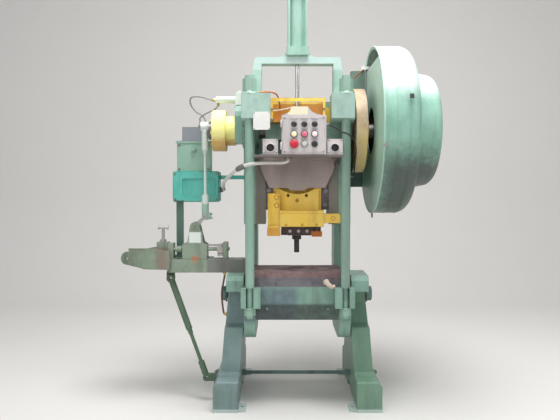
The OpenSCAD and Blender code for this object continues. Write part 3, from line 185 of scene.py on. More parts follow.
class Wiring:
    # small helpers that add a node to a tree and return its output
    def __init__(self, tree):
        self.tree = tree

    def link(self, source, target):
        self.tree.links.new(source, target)

    def feed(self, socket, value):
        if isinstance(value, bpy.types.NodeSocket):
            self.link(value, socket)
        else:
            socket.default_value = value

    def math(self, operation, a, b, clamp=False):
        n = self.tree.nodes.new("ShaderNodeMath")
        n.operation, n.use_clamp = operation, clamp
        self.feed(n.inputs[0], a)
        self.feed(n.inputs[1], b)
        return n.outputs[0]

    def plus(self, a, b, clamp=False):
        return self.math("ADD", a, b, clamp)

    def minus(self, a, b, clamp=False):
        return self.math("SUBTRACT", a, b, clamp)

    def times(self, a, b, clamp=False):
        return self.math("MULTIPLY", a, b, clamp)

    def noise(self, vector, scale, detail, rough=0.6):
        n = self.tree.nodes.new("ShaderNodeTexNoise")
        self.feed(n.inputs["Vector"], vector)
        self.feed(n.inputs["Scale"], scale)
        self.feed(n.inputs["Detail"], detail)
        self.feed(n.inputs["Roughness"], rough)
        return n.outputs["Fac"]

    def stretch(self, vector, size):
        n = self.tree.nodes.new("ShaderNodeMapping")
        self.feed(n.inputs["Vector"], vector)
        n.inputs["Scale"].default_value = size
        return n.outputs[0]

    def step(self, value, low, high):
        n = self.tree.nodes.new("ShaderNodeMapRange")
        n.interpolation_type = "SMOOTHSTEP"
        self.feed(n.inputs["Value"], value)
        self.feed(n.inputs["From Min"], low)
        self.feed(n.inputs["From Max"], high)
        return n.outputs["Result"]

    def mix(self, factor, a, b, kind="RGBA"):
        # a colour between a and b, or a number where the kind is FLOAT
        n = self.tree.nodes.new("ShaderNodeMix")
        n.data_type = kind
        self.feed(n.inputs["Factor"], factor)
        self.feed(n.inputs["A"], a)
        self.feed(n.inputs["B"], b)
        return n.outputs["Result"]

    def position(self):
        return self.tree.nodes.new("ShaderNodeTexCoord").outputs["Object"]

    def edges(self, radius):
        # 0 on flats to 1 at edges: how far the bevelled normal turns away from the true one
        bevel = self.tree.nodes.new("ShaderNodeBevel")
        bevel.samples = 4
        bevel.inputs["Radius"].default_value = radius
        geometry = self.tree.nodes.new("ShaderNodeNewGeometry")
        dot = self.tree.nodes.new("ShaderNodeVectorMath")
        dot.operation = "DOT_PRODUCT"
        self.link(bevel.outputs[0], dot.inputs[0])
        self.link(geometry.outputs["Normal"], dot.inputs[1])
        return self.step(self.minus(1.0, dot.outputs["Value"]), 0.02, 0.22)

    def split(self, vector):
        parts = self.tree.nodes.new("ShaderNodeSeparateXYZ")
        self.link(vector, parts.inputs[0])
        return parts.outputs

    def upward(self):
        # 1 on faces that look up, 0 on upright ones
        geometry = self.tree.nodes.new("ShaderNodeNewGeometry")
        return self.step(self.split(geometry.outputs["Normal"])[2], 0.25, 0.95)


def enamelGroup():
    # machine enamel: faded patches and a painted highlight on faces that look up, over them runs and spots
    # of grime, and chips to the bare colour at edges
    group, gin, gout = newGroup("wornEnamel", {
        "Paint": (0.3, 0.5, 0.4, 1), "Faded_lit": (0.6, 0.8, 0.7, 1), "Grime": (0.05, 0.05, 0.05, 1),
        "Bare": (0.2, 0.12, 0.08, 1), "Fade": 0.4, "Wear": 0.4, "Dirt": 0.4, "Gloss": 0.4},
        ["Color", "Roughness", "Height"])
    w = Wiring(group)
    at = w.position()
    patch = w.step(w.noise(at, 2.6, 6.0, 0.62), 0.38, 0.68)
    mottled = w.noise(at, 22.0, 6.0, 0.7)
    # the paler colour goes on at random faded patches, and on faces that look up as a painted highlight from
    # the lamp above
    faded_lit = w.times(w.plus(patch, w.times(w.upward(), 0.6), True), gin.outputs["Fade"])
    base = w.mix(faded_lit, gin.outputs["Paint"], gin.outputs["Faded_lit"])
    base = w.mix(w.times(w.step(mottled, 0.45, 0.75), 0.22), base, gin.outputs["Faded_lit"])
    runs = w.step(w.noise(w.stretch(at, (9.0, 9.0, 1.1)), 1.6, 5.0, 0.6), 0.46, 0.74)
    spots = w.step(w.noise(at, 48.0, 3.0, 0.6), 0.62, 0.78)
    dirt = w.times(w.plus(w.times(runs, 0.75), w.times(spots, 0.35), True), gin.outputs["Dirt"])
    base = w.mix(dirt, base, gin.outputs["Grime"])
    chipAt = w.plus(w.times(w.edges(0.006), 0.32), w.times(w.noise(at, 34.0, 7.0, 0.75), 0.9))
    reach = w.minus(0.86, w.times(gin.outputs["Wear"], 0.3))
    chips = w.step(chipAt, reach, w.plus(reach, 0.03))
    w.link(w.mix(chips, base, gin.outputs["Bare"]), gout.inputs["Color"])
    shine = w.plus(w.minus(0.85, w.times(gin.outputs["Gloss"], 0.6)), w.times(w.minus(mottled, 0.5), 0.5))
    w.link(w.mix(chips, shine, 0.85, "FLOAT"), gout.inputs["Roughness"])
    relief = w.plus(w.times(w.noise(at, 120.0, 3.0), 0.35), w.times(mottled, 0.4))
    w.link(w.minus(relief, w.times(chips, 0.6)), gout.inputs["Height"])
    return group


def metalGroup():
    # machined or cast metal: tool marks along one way, stains and brown rust where oil has gone
    group, gin, gout = newGroup("oiledMetal", {
        "Metal": (0.4, 0.4, 0.4, 1), "Stain": (0.1, 0.08, 0.07, 1), "Rust": (0.22, 0.09, 0.05, 1),
        "Stains": 0.5, "Rusting": 0.3, "Marks": 0.4, "Gloss": 0.5},
        ["Color", "Roughness", "Height", "Clean"])
    w = Wiring(group)
    at = w.position()
    stain = w.times(w.step(w.noise(at, 7.0, 7.0, 0.65), 0.4, 0.7), gin.outputs["Stains"])
    rust = w.times(w.step(w.noise(at, 13.0, 8.0, 0.72), 0.5, 0.66), gin.outputs["Rusting"])
    marks = w.noise(w.stretch(at, (3.0, 60.0, 160.0)), 3.0, 3.0, 0.7)
    bright = w.mix(w.times(w.edges(0.004), 0.35), gin.outputs["Metal"], (0.8, 0.8, 0.8, 1))
    base = w.mix(stain, bright, gin.outputs["Stain"])
    w.link(w.mix(rust, base, gin.outputs["Rust"]), gout.inputs["Color"])
    cover = w.math("MAXIMUM", stain, rust)
    clean = w.minus(1.0, cover, True)
    w.link(clean, gout.inputs["Clean"])
    shine = w.plus(w.minus(0.75, w.times(gin.outputs["Gloss"], 0.55)), w.times(cover, 0.3))
    w.link(w.plus(shine, w.times(w.minus(marks, 0.5), 0.25)), gout.inputs["Roughness"])
    relief = w.plus(w.times(w.times(marks, gin.outputs["Marks"]), 0.5), w.times(cover, 0.4))
    w.link(relief, gout.inputs["Height"])
    return group


def mouldedGroup():
    # rubber and plastic: fine grain, dust that settles on top, a rubbed paler tone at edges
    group, gin, gout = newGroup("mouldedSkin", {
        "Base": (0.05, 0.05, 0.05, 1), "Dust": (0.4, 0.37, 0.33, 1), "Dusty": 0.4, "Grain": 260.0,
        "Gloss": 0.5}, ["Color", "Roughness", "Height"])
    w = Wiring(group)
    at = w.position()
    patches = w.step(w.noise(at, 18.0, 6.0), 0.4, 0.7)
    settled = w.plus(w.times(w.upward(), 0.5), w.times(patches, 0.6))
    dusty = w.times(settled, gin.outputs["Dusty"], True)
    rubbed = w.mix(w.times(w.edges(0.002), 0.25), gin.outputs["Base"], (0.7, 0.7, 0.7, 1))
    w.link(w.mix(dusty, rubbed, gin.outputs["Dust"]), gout.inputs["Color"])
    shine = w.plus(w.minus(0.8, w.times(gin.outputs["Gloss"], 0.6)), w.times(dusty, 0.25))
    w.link(shine, gout.inputs["Roughness"])
    w.link(w.noise(at, gin.outputs["Grain"], 3.0), gout.inputs["Height"])
    return group


def srgb(r, g, b):
    # a colour as it is seen, 0 to 255, becomes the linear one that a shader takes
    c = np.array([r, g, b]) / 255
    c = np.where(c <= 0.04045, c / 12.92, ((c + 0.055) / 1.055) ** 2.4)
    return (*c.tolist(), 1.0)


def regionGroup():
    # 1 inside the box from Low to High, 0 outside, over an edge that Soft widens and noise makes ragged
    group, gin, gout = newGroup("paintRegion", {"Low": (0, 0, 0), "High": (1, 1, 1), "Soft": 0.01}, ["Mask"])
    w = Wiring(group)
    at, soft = w.position(), gin.outputs["Soft"]
    wave = w.times(w.minus(w.noise(at, 24.0, 6.0, 0.7), 0.5), w.times(soft, 1.8))
    spot, low, high = [w.split(v) for v in (at, gin.outputs["Low"], gin.outputs["High"])]
    mask = 1.0
    for p, a, b in zip(spot, low, high):
        p = w.plus(p, wave)
        above = w.step(p, w.minus(a, soft), w.plus(a, soft))
        below = w.step(p, w.plus(b, soft), w.minus(b, soft))
        mask = w.times(mask, w.times(above, below))
    w.link(mask, gout.inputs["Mask"])
    return group


groups = {"enamel": enamelGroup(), "metal": metalGroup(), "moulded": mouldedGroup(), "region": regionGroup()}
looks = {}


def makeLook(name, kind, bump, coat=0.0, metallic=None, emission=None, regions=(), **values):
    # a Principled shader fed by one group, whose inputs are set from values, with colours as they are seen;
    # each region lays its colour, by its strength, over a box in millimetres about the crank axis
    material = bpy.data.materials.new(name)
    material.use_nodes = True
    tree = material.node_tree
    shader = tree.nodes["Principled BSDF"]
    w = Wiring(tree)
    group = tree.nodes.new("ShaderNodeGroup")
    group.node_tree = groups[kind]
    for label, value in values.items():
        group.inputs[label.capitalize()].default_value = srgb(*value) if isinstance(value, tuple) else value
    colour = group.outputs["Color"]
    for low, high, soft, strength, seen in regions:
        region = tree.nodes.new("ShaderNodeGroup")
        region.node_tree = groups["region"]
        region.inputs["Low"].default_value = toRow(low).tolist()
        region.inputs["High"].default_value = toRow(high).tolist()
        region.inputs["Soft"].default_value = soft / 1000
        colour = w.mix(w.times(region.outputs["Mask"], strength), colour, srgb(*seen))
    w.link(colour, shader.inputs["Base Color"])
    w.link(group.outputs["Roughness"], shader.inputs["Roughness"])
    lump = tree.nodes.new("ShaderNodeBump")
    lump.inputs["Strength"].default_value = bump
    lump.inputs["Distance"].default_value = 0.0012
    w.link(group.outputs["Height"], lump.inputs["Height"])
    w.link(lump.outputs["Normal"], shader.inputs["Normal"])
    if kind == "metal":
        if metallic is None:
            w.link(group.outputs["Clean"], shader.inputs["Metallic"])
        else:
            shader.inputs["Metallic"].default_value = metallic
    shader.inputs["Coat Weight"].default_value = coat
    shader.inputs["Coat Roughness"].default_value = 0.18
    if emission:
        shader.inputs["Emission Color"].default_value = srgb(*emission)
        shader.inputs["Emission Strength"].default_value = 0.25
    looks[name] = material


print("finishes")
# Every colour is given as it is seen, 0 to 255
enamels = {
    "frameEnamel": dict(paint=(122, 158, 143), faded_lit=(163, 198, 184), grime=(70, 66, 60),
                        bare=(70, 58, 50), fade=0.45, wear=0.42, dirt=0.5, gloss=0.5),
    "lowerEnamel": dict(paint=(96, 122, 112), faded_lit=(124, 148, 150), grime=(46, 46, 44),
                        bare=(72, 56, 48), fade=0.55, wear=0.5, dirt=0.6, gloss=0.45),
    # The left leg's enamel is paler and bluer than the right leg's: partly a tint of its own, partly painted
    # light
    "leftLegEnamel": dict(paint=(114, 140, 136), faded_lit=(142, 162, 166), grime=(60, 58, 54),
                          bare=(78, 60, 50), fade=0.6, wear=0.45, dirt=0.45, gloss=0.55),
    "rightLegEnamel": dict(paint=(100, 136, 112), faded_lit=(126, 160, 140), grime=(60, 58, 54),
                           bare=(78, 60, 50), fade=0.45, wear=0.45, dirt=0.45, gloss=0.55),
    "rodEnamel": dict(paint=(142, 178, 160), faded_lit=(168, 196, 182), grime=(92, 96, 88),
                      bare=(120, 112, 102), fade=0.5, wear=0.3, dirt=0.35, gloss=0.55),
    "yokeEnamel": dict(paint=(150, 190, 174), faded_lit=(196, 222, 210), grime=(90, 98, 90),
                       bare=(96, 80, 66), fade=0.6, wear=0.35, dirt=0.35, gloss=0.5),
    "cylinderEnamel": dict(paint=(148, 190, 172), faded_lit=(184, 216, 204), grime=(112, 130, 120),
                           bare=(120, 110, 96), fade=0.55, wear=0.2, dirt=0.28, gloss=0.6),
    "guardEnamel": dict(paint=(128, 178, 158), faded_lit=(182, 222, 206), grime=(78, 86, 80),
                        bare=(86, 74, 62), fade=0.4, wear=0.22, dirt=0.42, gloss=0.6),
    "brakeYellow": dict(paint=(250, 242, 150), faded_lit=(253, 250, 206), grime=(178, 122, 52),
                        bare=(110, 78, 48), fade=0.6, wear=0.3, dirt=0.4, gloss=0.55),
    "trayYellow": dict(paint=(240, 206, 78), faded_lit=(250, 232, 150), grime=(168, 96, 38),
                       bare=(120, 78, 48), fade=0.35, wear=0.45, dirt=0.75, gloss=0.5),
    "slideYellow": dict(paint=(246, 204, 74), faded_lit=(250, 222, 132), grime=(168, 112, 46),
                        bare=(126, 74, 44), fade=0.4, wear=0.6, dirt=0.52, gloss=0.45),
    "apronBrown": dict(paint=(160, 144, 138), faded_lit=(180, 166, 160), grime=(116, 100, 96),
                       bare=(88, 68, 58), fade=0.4, wear=0.25, dirt=0.5, gloss=0.35),
    "boxGrey": dict(paint=(202, 196, 196), faded_lit=(222, 216, 210), grime=(132, 122, 112),
                    bare=(120, 100, 84), fade=0.4, wear=0.22, dirt=0.32, gloss=0.5),
    "turquoise": dict(paint=(66, 176, 160), faded_lit=(136, 214, 200), grime=(36, 96, 90), bare=(86, 76, 64),
                      fade=0.4, wear=0.3, dirt=0.5, gloss=0.5),
    "boxGreen": dict(paint=(136, 174, 154), faded_lit=(168, 200, 184), grime=(86, 96, 88), bare=(96, 82, 68),
                     fade=0.4, wear=0.3, dirt=0.4, gloss=0.45),
    "feedEnamel": dict(paint=(116, 132, 112), faded_lit=(160, 176, 158), grime=(54, 50, 44),
                       bare=(128, 92, 80), fade=0.55, wear=0.62, dirt=0.7, gloss=0.45),
    "strutEnamel": dict(paint=(82, 106, 84), faded_lit=(104, 128, 106), grime=(50, 52, 46),
                        bare=(70, 58, 50), fade=0.4, wear=0.4, dirt=0.5, gloss=0.4),
    "motorGreen": dict(paint=(78, 104, 96), faded_lit=(104, 130, 120), grime=(40, 42, 40), bare=(70, 58, 50),
                       fade=0.4, wear=0.35, dirt=0.55, gloss=0.4),
    "silencerCream": dict(paint=(222, 230, 218), faded_lit=(246, 248, 242), grime=(110, 112, 100),
                          bare=(110, 96, 80), fade=0.5, wear=0.3, dirt=0.2, gloss=0.5),
}
# Metals, machined or cast
metals = {
    "discIron": dict(metal=(208, 186, 154), stain=(178, 144, 100), rust=(156, 108, 68), stains=0.5,
                     rusting=0.3, marks=0.4, gloss=0.35, metallic=0.15),
    "plateRust": dict(metal=(150, 126, 126), stain=(96, 74, 76), rust=(124, 70, 58), stains=0.7,
                      rusting=0.6, marks=0.7, gloss=0.35, metallic=0.3),
    "bedPlate": dict(metal=(124, 122, 128), stain=(78, 74, 76), rust=(104, 72, 62), stains=0.7,
                     rusting=0.4, marks=0.6, gloss=0.35, metallic=0.3),
    "toolSteel": dict(metal=(84, 74, 76), stain=(42, 38, 40), rust=(110, 58, 38), stains=0.7,
                      rusting=0.35, marks=0.5, gloss=0.5, metallic=0.5),
    "gibSteel": dict(metal=(112, 100, 104), stain=(66, 58, 60), rust=(110, 72, 58), stains=0.7,
                     rusting=0.4, marks=0.6, gloss=0.45, metallic=0.4),
    "oiledSteel": dict(metal=(140, 138, 138), stain=(70, 64, 60), rust=(110, 74, 54), stains=0.5,
                       rusting=0.25, marks=0.4, gloss=0.6),
    "brightSteel": dict(metal=(196, 194, 190), stain=(128, 120, 112), rust=(130, 96, 76), stains=0.4,
                        rusting=0.2, marks=0.35, gloss=0.7),
    "polishedRod": dict(metal=(206, 202, 204), stain=(150, 146, 146), rust=(140, 120, 110), stains=0.25,
                        rusting=0.05, marks=0.1, gloss=0.95),
    "boltSteel": dict(metal=(150, 150, 146), stain=(82, 76, 68), rust=(116, 78, 54), stains=0.6,
                      rusting=0.4, marks=0.2, gloss=0.5),
    "bearingBronze": dict(metal=(176, 144, 88), stain=(96, 74, 48), rust=(90, 70, 44), stains=0.4,
                          rusting=0.1, marks=0.4, gloss=0.65),
    "copper": dict(metal=(190, 120, 84), stain=(120, 72, 50), rust=(96, 84, 60), stains=0.5,
                   rusting=0.15, marks=0.1, gloss=0.6),
    "brassFitting": dict(metal=(204, 176, 108), stain=(128, 100, 60), rust=(110, 88, 56), stains=0.4,
                         rusting=0.1, marks=0.1, gloss=0.65),
    "wheelIron": dict(metal=(120, 122, 120), stain=(60, 58, 56), rust=(104, 68, 50), stains=0.5,
                      rusting=0.3, marks=0.5, gloss=0.5),
}
# Rubber, plastic and sheaths
moulded = {
    "beltRubber": dict(base=(36, 36, 36), dust=(92, 86, 80), dusty=0.3, grain=300.0, gloss=0.25),
    "cableBlack": dict(base=(34, 38, 38), dust=(104, 98, 90), dusty=0.35, grain=260.0, gloss=0.45),
    "hoseGrey": dict(base=(164, 160, 164), dust=(196, 188, 180), dusty=0.35, grain=260.0, gloss=0.5),
    "hoseBrown": dict(base=(96, 72, 58), dust=(132, 108, 90), dusty=0.4, grain=260.0, gloss=0.35),
    "conduitGrey": dict(base=(222, 220, 214), dust=(168, 154, 142), dusty=0.45, grain=220.0, gloss=0.5),
    "blackPlastic": dict(base=(46, 46, 50), dust=(120, 112, 104), dusty=0.3, grain=320.0, gloss=0.6),
    "greyPlastic": dict(base=(112, 110, 112), dust=(160, 150, 142), dusty=0.3, grain=320.0, gloss=0.5),
    "redPlastic": dict(base=(206, 40, 62), dust=(220, 150, 140), dusty=0.22, grain=320.0, gloss=0.7),
    "whitePlastic": dict(base=(206, 210, 200), dust=(176, 168, 156), dusty=0.3, grain=320.0, gloss=0.6),
    "palePlastic": dict(base=(226, 206, 190), dust=(180, 160, 144), dusty=0.4, grain=320.0, gloss=0.5),
    "cardWhite": dict(base=(236, 236, 232), dust=(196, 190, 178), dusty=0.3, grain=200.0, gloss=0.5),
    "legendGrey": dict(base=(176, 172, 172), dust=(140, 130, 122), dusty=0.35, grain=300.0, gloss=0.45),
}
lenses = {"lensCream": (250, 240, 190), "lensRed": (226, 84, 118), "lensWhite": (246, 226, 226)}
# Regions of other colour, painted light and shade among them: low corner, high corner, softness in
# millimetres, strength, seen colour
painted = {
    "frameEnamel": [
        ((-345, -240, 560), (0, 300, 775), 34, 0.8, (84, 92, 112)),  # bluish grey over the bed's left half
        ((-262, -232, 560), (262, -180, 668), 12, 0.92, (54, 60, 58)),  # painted shade over the bed's lower band, in place of the shadow under a step
        ((-263, -330, 1160), (263, 100, 1565), 6, 0.8, (126, 110, 102)),  # oil round the slide ways
        ((-350, -312, 1805), (350, -140, 1980), 12, 0.6, (204, 230, 220))],  # paler lugs
    "feedEnamel": [
        ((-702, -60, 1037), (-624, 60, 1106), 5, 0.9, (232, 240, 236)),  # painted highlight on the tower's sloping cone
        ((-684, -60, 905), (-640, -40, 948), 12, 0.85, (196, 112, 70)),  # rust low on the tower's front
        ((-584, -70, 843), (-300, 70, 930), 8, 0.6, (112, 104, 108)),  # greyer rail
        ((-905, -100, 850), (-840, 100, 1000), 26, 0.6, (138, 98, 90))],  # brown at the feed's entry
    "guardEnamel": [
        ((470, -720, 1000), (960, 720, 1590), 110, 0.95, (70, 80, 74)),  # darker low on it: old oil, and painted shade on its underside
        ((470, -720, 1960), (960, 720, 2400), 60, 0.6, (240, 250, 246)),  # painted highlight on its top
        ((470, -720, 1100), (492, 720, 2400), 3, 0.55, (196, 228, 208))],  # paler at its left rim and face: painted light where that face is in shade
    "leftLegEnamel": [((-900, -700, -10), (900, 700, 22), 5, 0.6, (206, 220, 216))],  # painted highlight on the foot flanges at the floor
    # the same painted highlight on the right leg's foot flanges
    "rightLegEnamel": [((-900, -700, -10), (900, 700, 22), 5, 0.6, (206, 220, 216))],
    "brakeYellow": [((-560, -200, 1600), (-390, 200, 1704), 22, 0.75, (206, 146, 66))],  # browner towards the bottom
    "boxGrey": [
        ((-62, -440, 1822), (54, -290, 1882), 4, 0.8, (252, 244, 208)),  # cream hump on the box
        ((-290, -440, 1500), (290, -140, 1591), 1.5, 0.85, (88, 78, 74))],  # the shelf below the box darkened: painted shade under the box
    "yokeEnamel": [((-320, -220, 2130), (320, 220, 2230), 6, 0.55, (212, 232, 230))],
    "turquoise": [((-815, 60, 900), (-750, 160, 1312), 4, 0.95, (86, 112, 98))],  # green post under the box
    "boxGreen": [((-775, 80, 1702), (-620, 200, 1820), 4, 0.9, (132, 134, 142))],  # grey block on top
    "slideYellow": [((-192, -200, 1090), (-104, -150, 1146), 8, 0.6, (206, 128, 56))],  # brown low left
    "trayYellow": [((-164, -297, 1790), (164, -100, 1925), 3, 0.8, (182, 120, 54))],  # brown inside the cover: grease, and painted shade on its inner faces
    "motorGreen": [
        ((440, 180, 2196), (570, 235, 2230), 2, 0.9, (236, 242, 238)),  # pale bar: a painted highlight on the motor
        ((370, 180, 1967), (480, 260, 2192), 6, 0.6, (116, 140, 130))],  # its post
    "rodEnamel": [
        ((-632, -40, 1290), (-568, 40, 1766), 6, 0.85, (216, 226, 220)),  # feed rod
        ((-645, -45, 1762), (-560, 45, 1840), 4, 0.8, (244, 246, 244)),  # its upper eye
        ((280, -400, 700), (400, 0, 1790), 20, 0.6, (104, 124, 112))],  # right tie rod
    "discIron": [
        ((380, -400, 1790), (520, 400, 2100), 60, 0.75, (146, 128, 112)),  # browner upper half
        ((380, -400, 1400), (520, 400, 1740), 60, 0.8, (226, 200, 124))],  # paler yellow lower half: painted light where the guard shades it
    "toolSteel": [((86, -190, 1085), (160, -150, 1123), 4, 0.85, (196, 118, 52))],  # rusty right clamp
}
for name, values in enamels.items():
    makeLook(name, "enamel", bump=0.35, coat=0.12, regions=painted.get(name, ()), **values)
for name, values in metals.items():
    makeLook(name, "metal", bump=0.45, regions=painted.get(name, ()), **values)
for name, values in moulded.items():
    makeLook(name, "moulded", bump=0.2, coat=0.05, **values)
for name, seen in lenses.items():
    makeLook(name, "moulded", bump=0.05, coat=0.6, emission=seen, base=seen, dust=(200, 190, 180),
             dusty=0.15, grain=400.0, gloss=0.9)

nodeLooks = {
    "frameEnamel": ["frame"], "leftLegEnamel": ["left_leg"], "rightLegEnamel": ["right_leg"],
    "rodEnamel": ["tie_rods", "tie_rod_nuts", "feed_rod"], "strutEnamel": ["feed_strut"],
    "yokeEnamel": ["yoke"], "lowerEnamel": ["leg_fasteners"],
    "cylinderEnamel": ["cylinder_heads", "cylinder_tube", "cylinder_tie_rods"],
    "guardEnamel": ["flywheel_guard"], "brakeYellow": ["brake_housing"], "trayYellow": ["crank_guard"],
    "slideYellow": ["slide", "slide_clamp_block", "slide_bracket", "knockout_bar"], "apronBrown": ["apron"],
    "boxGrey": ["control_box", "palm_boxes"], "turquoise": ["valve_box"], "boxGreen": ["junction_box"],
    "feedEnamel": ["feed_base"], "motorGreen": ["motor", "motor_base"], "silencerCream": ["exhaust_muffler"],
    "discIron": ["clutch_disc"], "plateRust": ["bolster_top_plate"], "bedPlate": ["bolster"],
    "toolSteel": ["tool_plate"], "gibSteel": ["gibs"],
    "oiledSteel": ["crankshaft", "connecting_rod", "rod_cap", "adjusting_screw", "feed_crank"],
    "brightSteel": ["feed_lever", "feed_head", "feed_roller", "t_handle"], "polishedRod": ["balance_piston"],
    "bearingBronze": ["main_bushes"], "wheelIron": ["flywheel", "motor_pulley"],
    "beltRubber": ["drive_belts"], "cableBlack": ["palm_cable"], "hoseBrown": ["feed_hose"],
    "hoseGrey": ["air_hose_long", "air_hose_short"], "conduitGrey": ["conduit"],
    "blackPlastic": ["selector_left", "selector_middle", "selector_right", "inch_button", "palm_button_left",
                     "palm_button_right"], "redPlastic": ["stop_button"], "whitePlastic": ["start_button"],
}
for look, names in nodeLooks.items():
    for name in names:
        nodes[name].data.materials.clear()
        nodes[name].data.materials.append(looks[look])

print("camera, lights and floor")
# The camera's place in metres; it looks along +y, tipped down by the pitch and turned by the yaw, in degrees
view = {"place": (-0.109, -4.20, 1.40), "pitch": 2.15, "yaw": 0.0, "lens": 39.43, "sensor": 36.0}
camera = bpy.data.objects.new("camera", bpy.data.cameras.new("camera"))
camera.data.lens, camera.data.sensor_width = view["lens"], view["sensor"]
camera.location = view["place"]
camera.rotation_euler = (math.radians(90 - view["pitch"]), 0.0, math.radians(view["yaw"]))
bpy.context.scene.collection.objects.link(camera)
bpy.context.scene.camera = camera

# Each lamp: name, place, where it points, size in metres and power in watts
studio = {"sky": (0.86, 0.87, 0.9), "skyPower": 0.5, "floor": (0.78, 0.76, 0.73),
          "lamps": [("top", (0.3, -1.1, 5.0), (0.1, 0, 0.9), 2.4, 205),
                    ("front", (-2.6, -4.6, 3.4), (0, 0, 1.2), 2.6, 50),
                    ("right", (4.2, -2.4, 3.0), (0.4, 0, 1.4), 2.2, 40)]}
world = bpy.data.worlds.new("studio")
world.use_nodes = True
world.node_tree.nodes["Background"].inputs[0].default_value = (*studio["sky"], 1)
world.node_tree.nodes["Background"].inputs[1].default_value = studio["skyPower"]
bpy.context.scene.world = world
for name, place, target, size, power in studio["lamps"]:
    lamp = bpy.data.objects.new(name, bpy.data.lights.new(name, "AREA"))
    lamp.data.shape, lamp.data.size, lamp.data.energy = "DISK", size, power
    lamp.location = place
    lamp.rotation_euler = (Vector(target) - Vector(place)).to_track_quat("-Z", "Y").to_euler()
    bpy.context.scene.collection.objects.link(lamp)

floorSheet = {"front": -9, "bend": 3.0, "radius": 1.5, "top": 9, "half": 12}  # in metres


def stageSheet():
    # a floor that curves up into a wall: flat, then a quarter circle, then upright
    a = np.linspace(0, np.pi / 2, 14)
    bend, r = floorSheet["bend"], floorSheet["radius"]
    curve = np.stack([bend + r * np.sin(a), r - r * np.cos(a)], -1)
    profile = np.concatenate([[(floorSheet["front"], 0)], curve, [(bend + r, floorSheet["top"])]])
    sides = [np.insert(profile, 0, s * floorSheet["half"], axis=1) for s in signs]
    points = np.stack(sides, 1).reshape(-1, 3)
    mesh = bpy.data.meshes.new("floor")
    mesh.from_pydata(points.tolist(), [], gridFaces(len(profile), 2, False)[:, ::-1].tolist())
    mesh.shade_smooth()
    floor = bpy.data.objects.new("floor", mesh)
    bpy.context.scene.collection.objects.link(floor)
    material = bpy.data.materials.new("floorPaint")
    material.use_nodes = True
    shader = material.node_tree.nodes["Principled BSDF"]
    w = Wiring(material.node_tree)
    pale, darker = (*studio["floor"], 1), (*[c * 0.96 for c in studio["floor"]], 1)
    w.link(w.mix(w.noise(w.position(), 1.4, 6.0), darker, pale), shader.inputs["Base Color"])
    shader.inputs["Roughness"].default_value = 0.8
    mesh.materials.append(material)


stageSheet()

print("cords")
# The points are the drawing's own, in millimetres about the crank axis
cords = {
    "conduit": dict(
        radius=11, look="conduitGrey", slot="conduit_grey", lay="loose", stiffness="stiff", points=[
        (-60, -345, 1578), (-60, -345, 1562), (-78, -344, 1550), (-112, -340, 1546), (-190, -332, 1546),
        (-300, -330, 1534), (-370, -290, 1506), (-430, -170, 1466), (-474, -30, 1430), (-488, 60, 1402),
        (-486, 104, 1384), (-496, 120, 1380), (-515, 120, 1380)]),
    "air_hose_long": dict(
        radius=6, look="hoseGrey", slot="hose_grey", lay="loose", stiffness="medium", points=[
        (-534, 0, 1968), (-552, 0, 1968), (-620, 20, 1990), (-690, 50, 1994), (-708, 90, 1960),
        (-680, 118, 1912), (-632, 136, 1882), (-610, 140, 1840), (-610, 140, 1800)]),
    "air_hose_short": dict(
        radius=5, look="hoseGrey", slot="hose_grey", lay="loose", stiffness="medium", points=[
        (-512, 0, 1946), (-512, 0, 1934), (-540, 40, 1912), (-600, 90, 1892), (-646, 130, 1868),
        (-650, 140, 1840), (-650, 140, 1816)]),
    "palm_cable": dict(
        radius=5, look="cableBlack", slot="cable_black", lay="loose", stiffness="medium", points=[
        (162, -380, 1768), (180, -380, 1768), (226, -372, 1748), (258, -364, 1728), (300, -344, 1716),
        (336, -322, 1680), (352, -300, 1630), (354, -240, 1560), (356, -175, 1496), (355, -145, 1474),
        (350, -136, 1469), (337, -135, 1468)]),
    "feed_hose": dict(
        radius=6, look="hoseBrown", slot="hose_brown", lay="hanging", stiffness="medium", points=[
        (-470, -40, 843.5), (-470, -40, 826), (-478, -44, 780), (-488, -50, 720), (-488, -52, 670),
        (-483, -50, 620), (-478, -46, 584), (-472.5, -46, 571), (-457.5, -46, 570)]),
}
cordSteps = 14  # points of the curve for each stretch between two of these
cordPaths = {}
for name, cord in cords.items():
    path = smoothPath(cord["points"], cordSteps)
    cordPaths[name] = path
    sheath = tube(path, cord["radius"], 16)
    piece = makePiece(name + "_sheath", sheath, "frame", cord["look"], cord["slot"], replaced=[name])

print("operating box")
# The middle element of the bottom row, the pitches of the columns and rows, and the panel's face
panel = {"x": 33, "z": 1651, "pitchX": 60, "pitchZ": 58, "face": -435}


def panelSpot(col, row):
    # columns count from the left, rows from the top
    return panel["x"] + (col - 1) * panel["pitchX"], panel["z"] + (2 - row) * panel["pitchZ"]


def bezel(x, z, r, bore):
    # chamfered ring of radius r round an element, bored to that share of r
    ring = [(0.5, r * bore), (0.5, r), (-3, r), (-5, r * 0.9), (-5, r * bore), (0.5, r * bore)]
    return turned(ring, (x, panel["face"], z), "y", 32)


bezels = []
for col in range(3):
    bezels.append(bezel(*panelSpot(col, 0), 18, 0.62))
    bore = 0.84 if col else 0.62  # a flush button travels inside the wide ones
    bezels.append(bezel(*panelSpot(col, 2), 20, bore))
makePiece("panel_bezels", together(*bezels), "frame", "greyPlastic", "black_plastic")

# Profiles, outlines and depths before the panel's face
selector = {"skirt": [(-0.4, 0), (-0.4, 15.5), (-8, 15.5), (-10, 13.5), (-10, 0)], "lean": math.radians(30),
            "lever": roundOutline(0, 0, 11, 34, 5), "leverFront": 26, "leverBack": 9,
            "mark": roundOutline(0, 11, 2.4, 9, 1, 3), "markFront": 26.8, "markBack": 25}
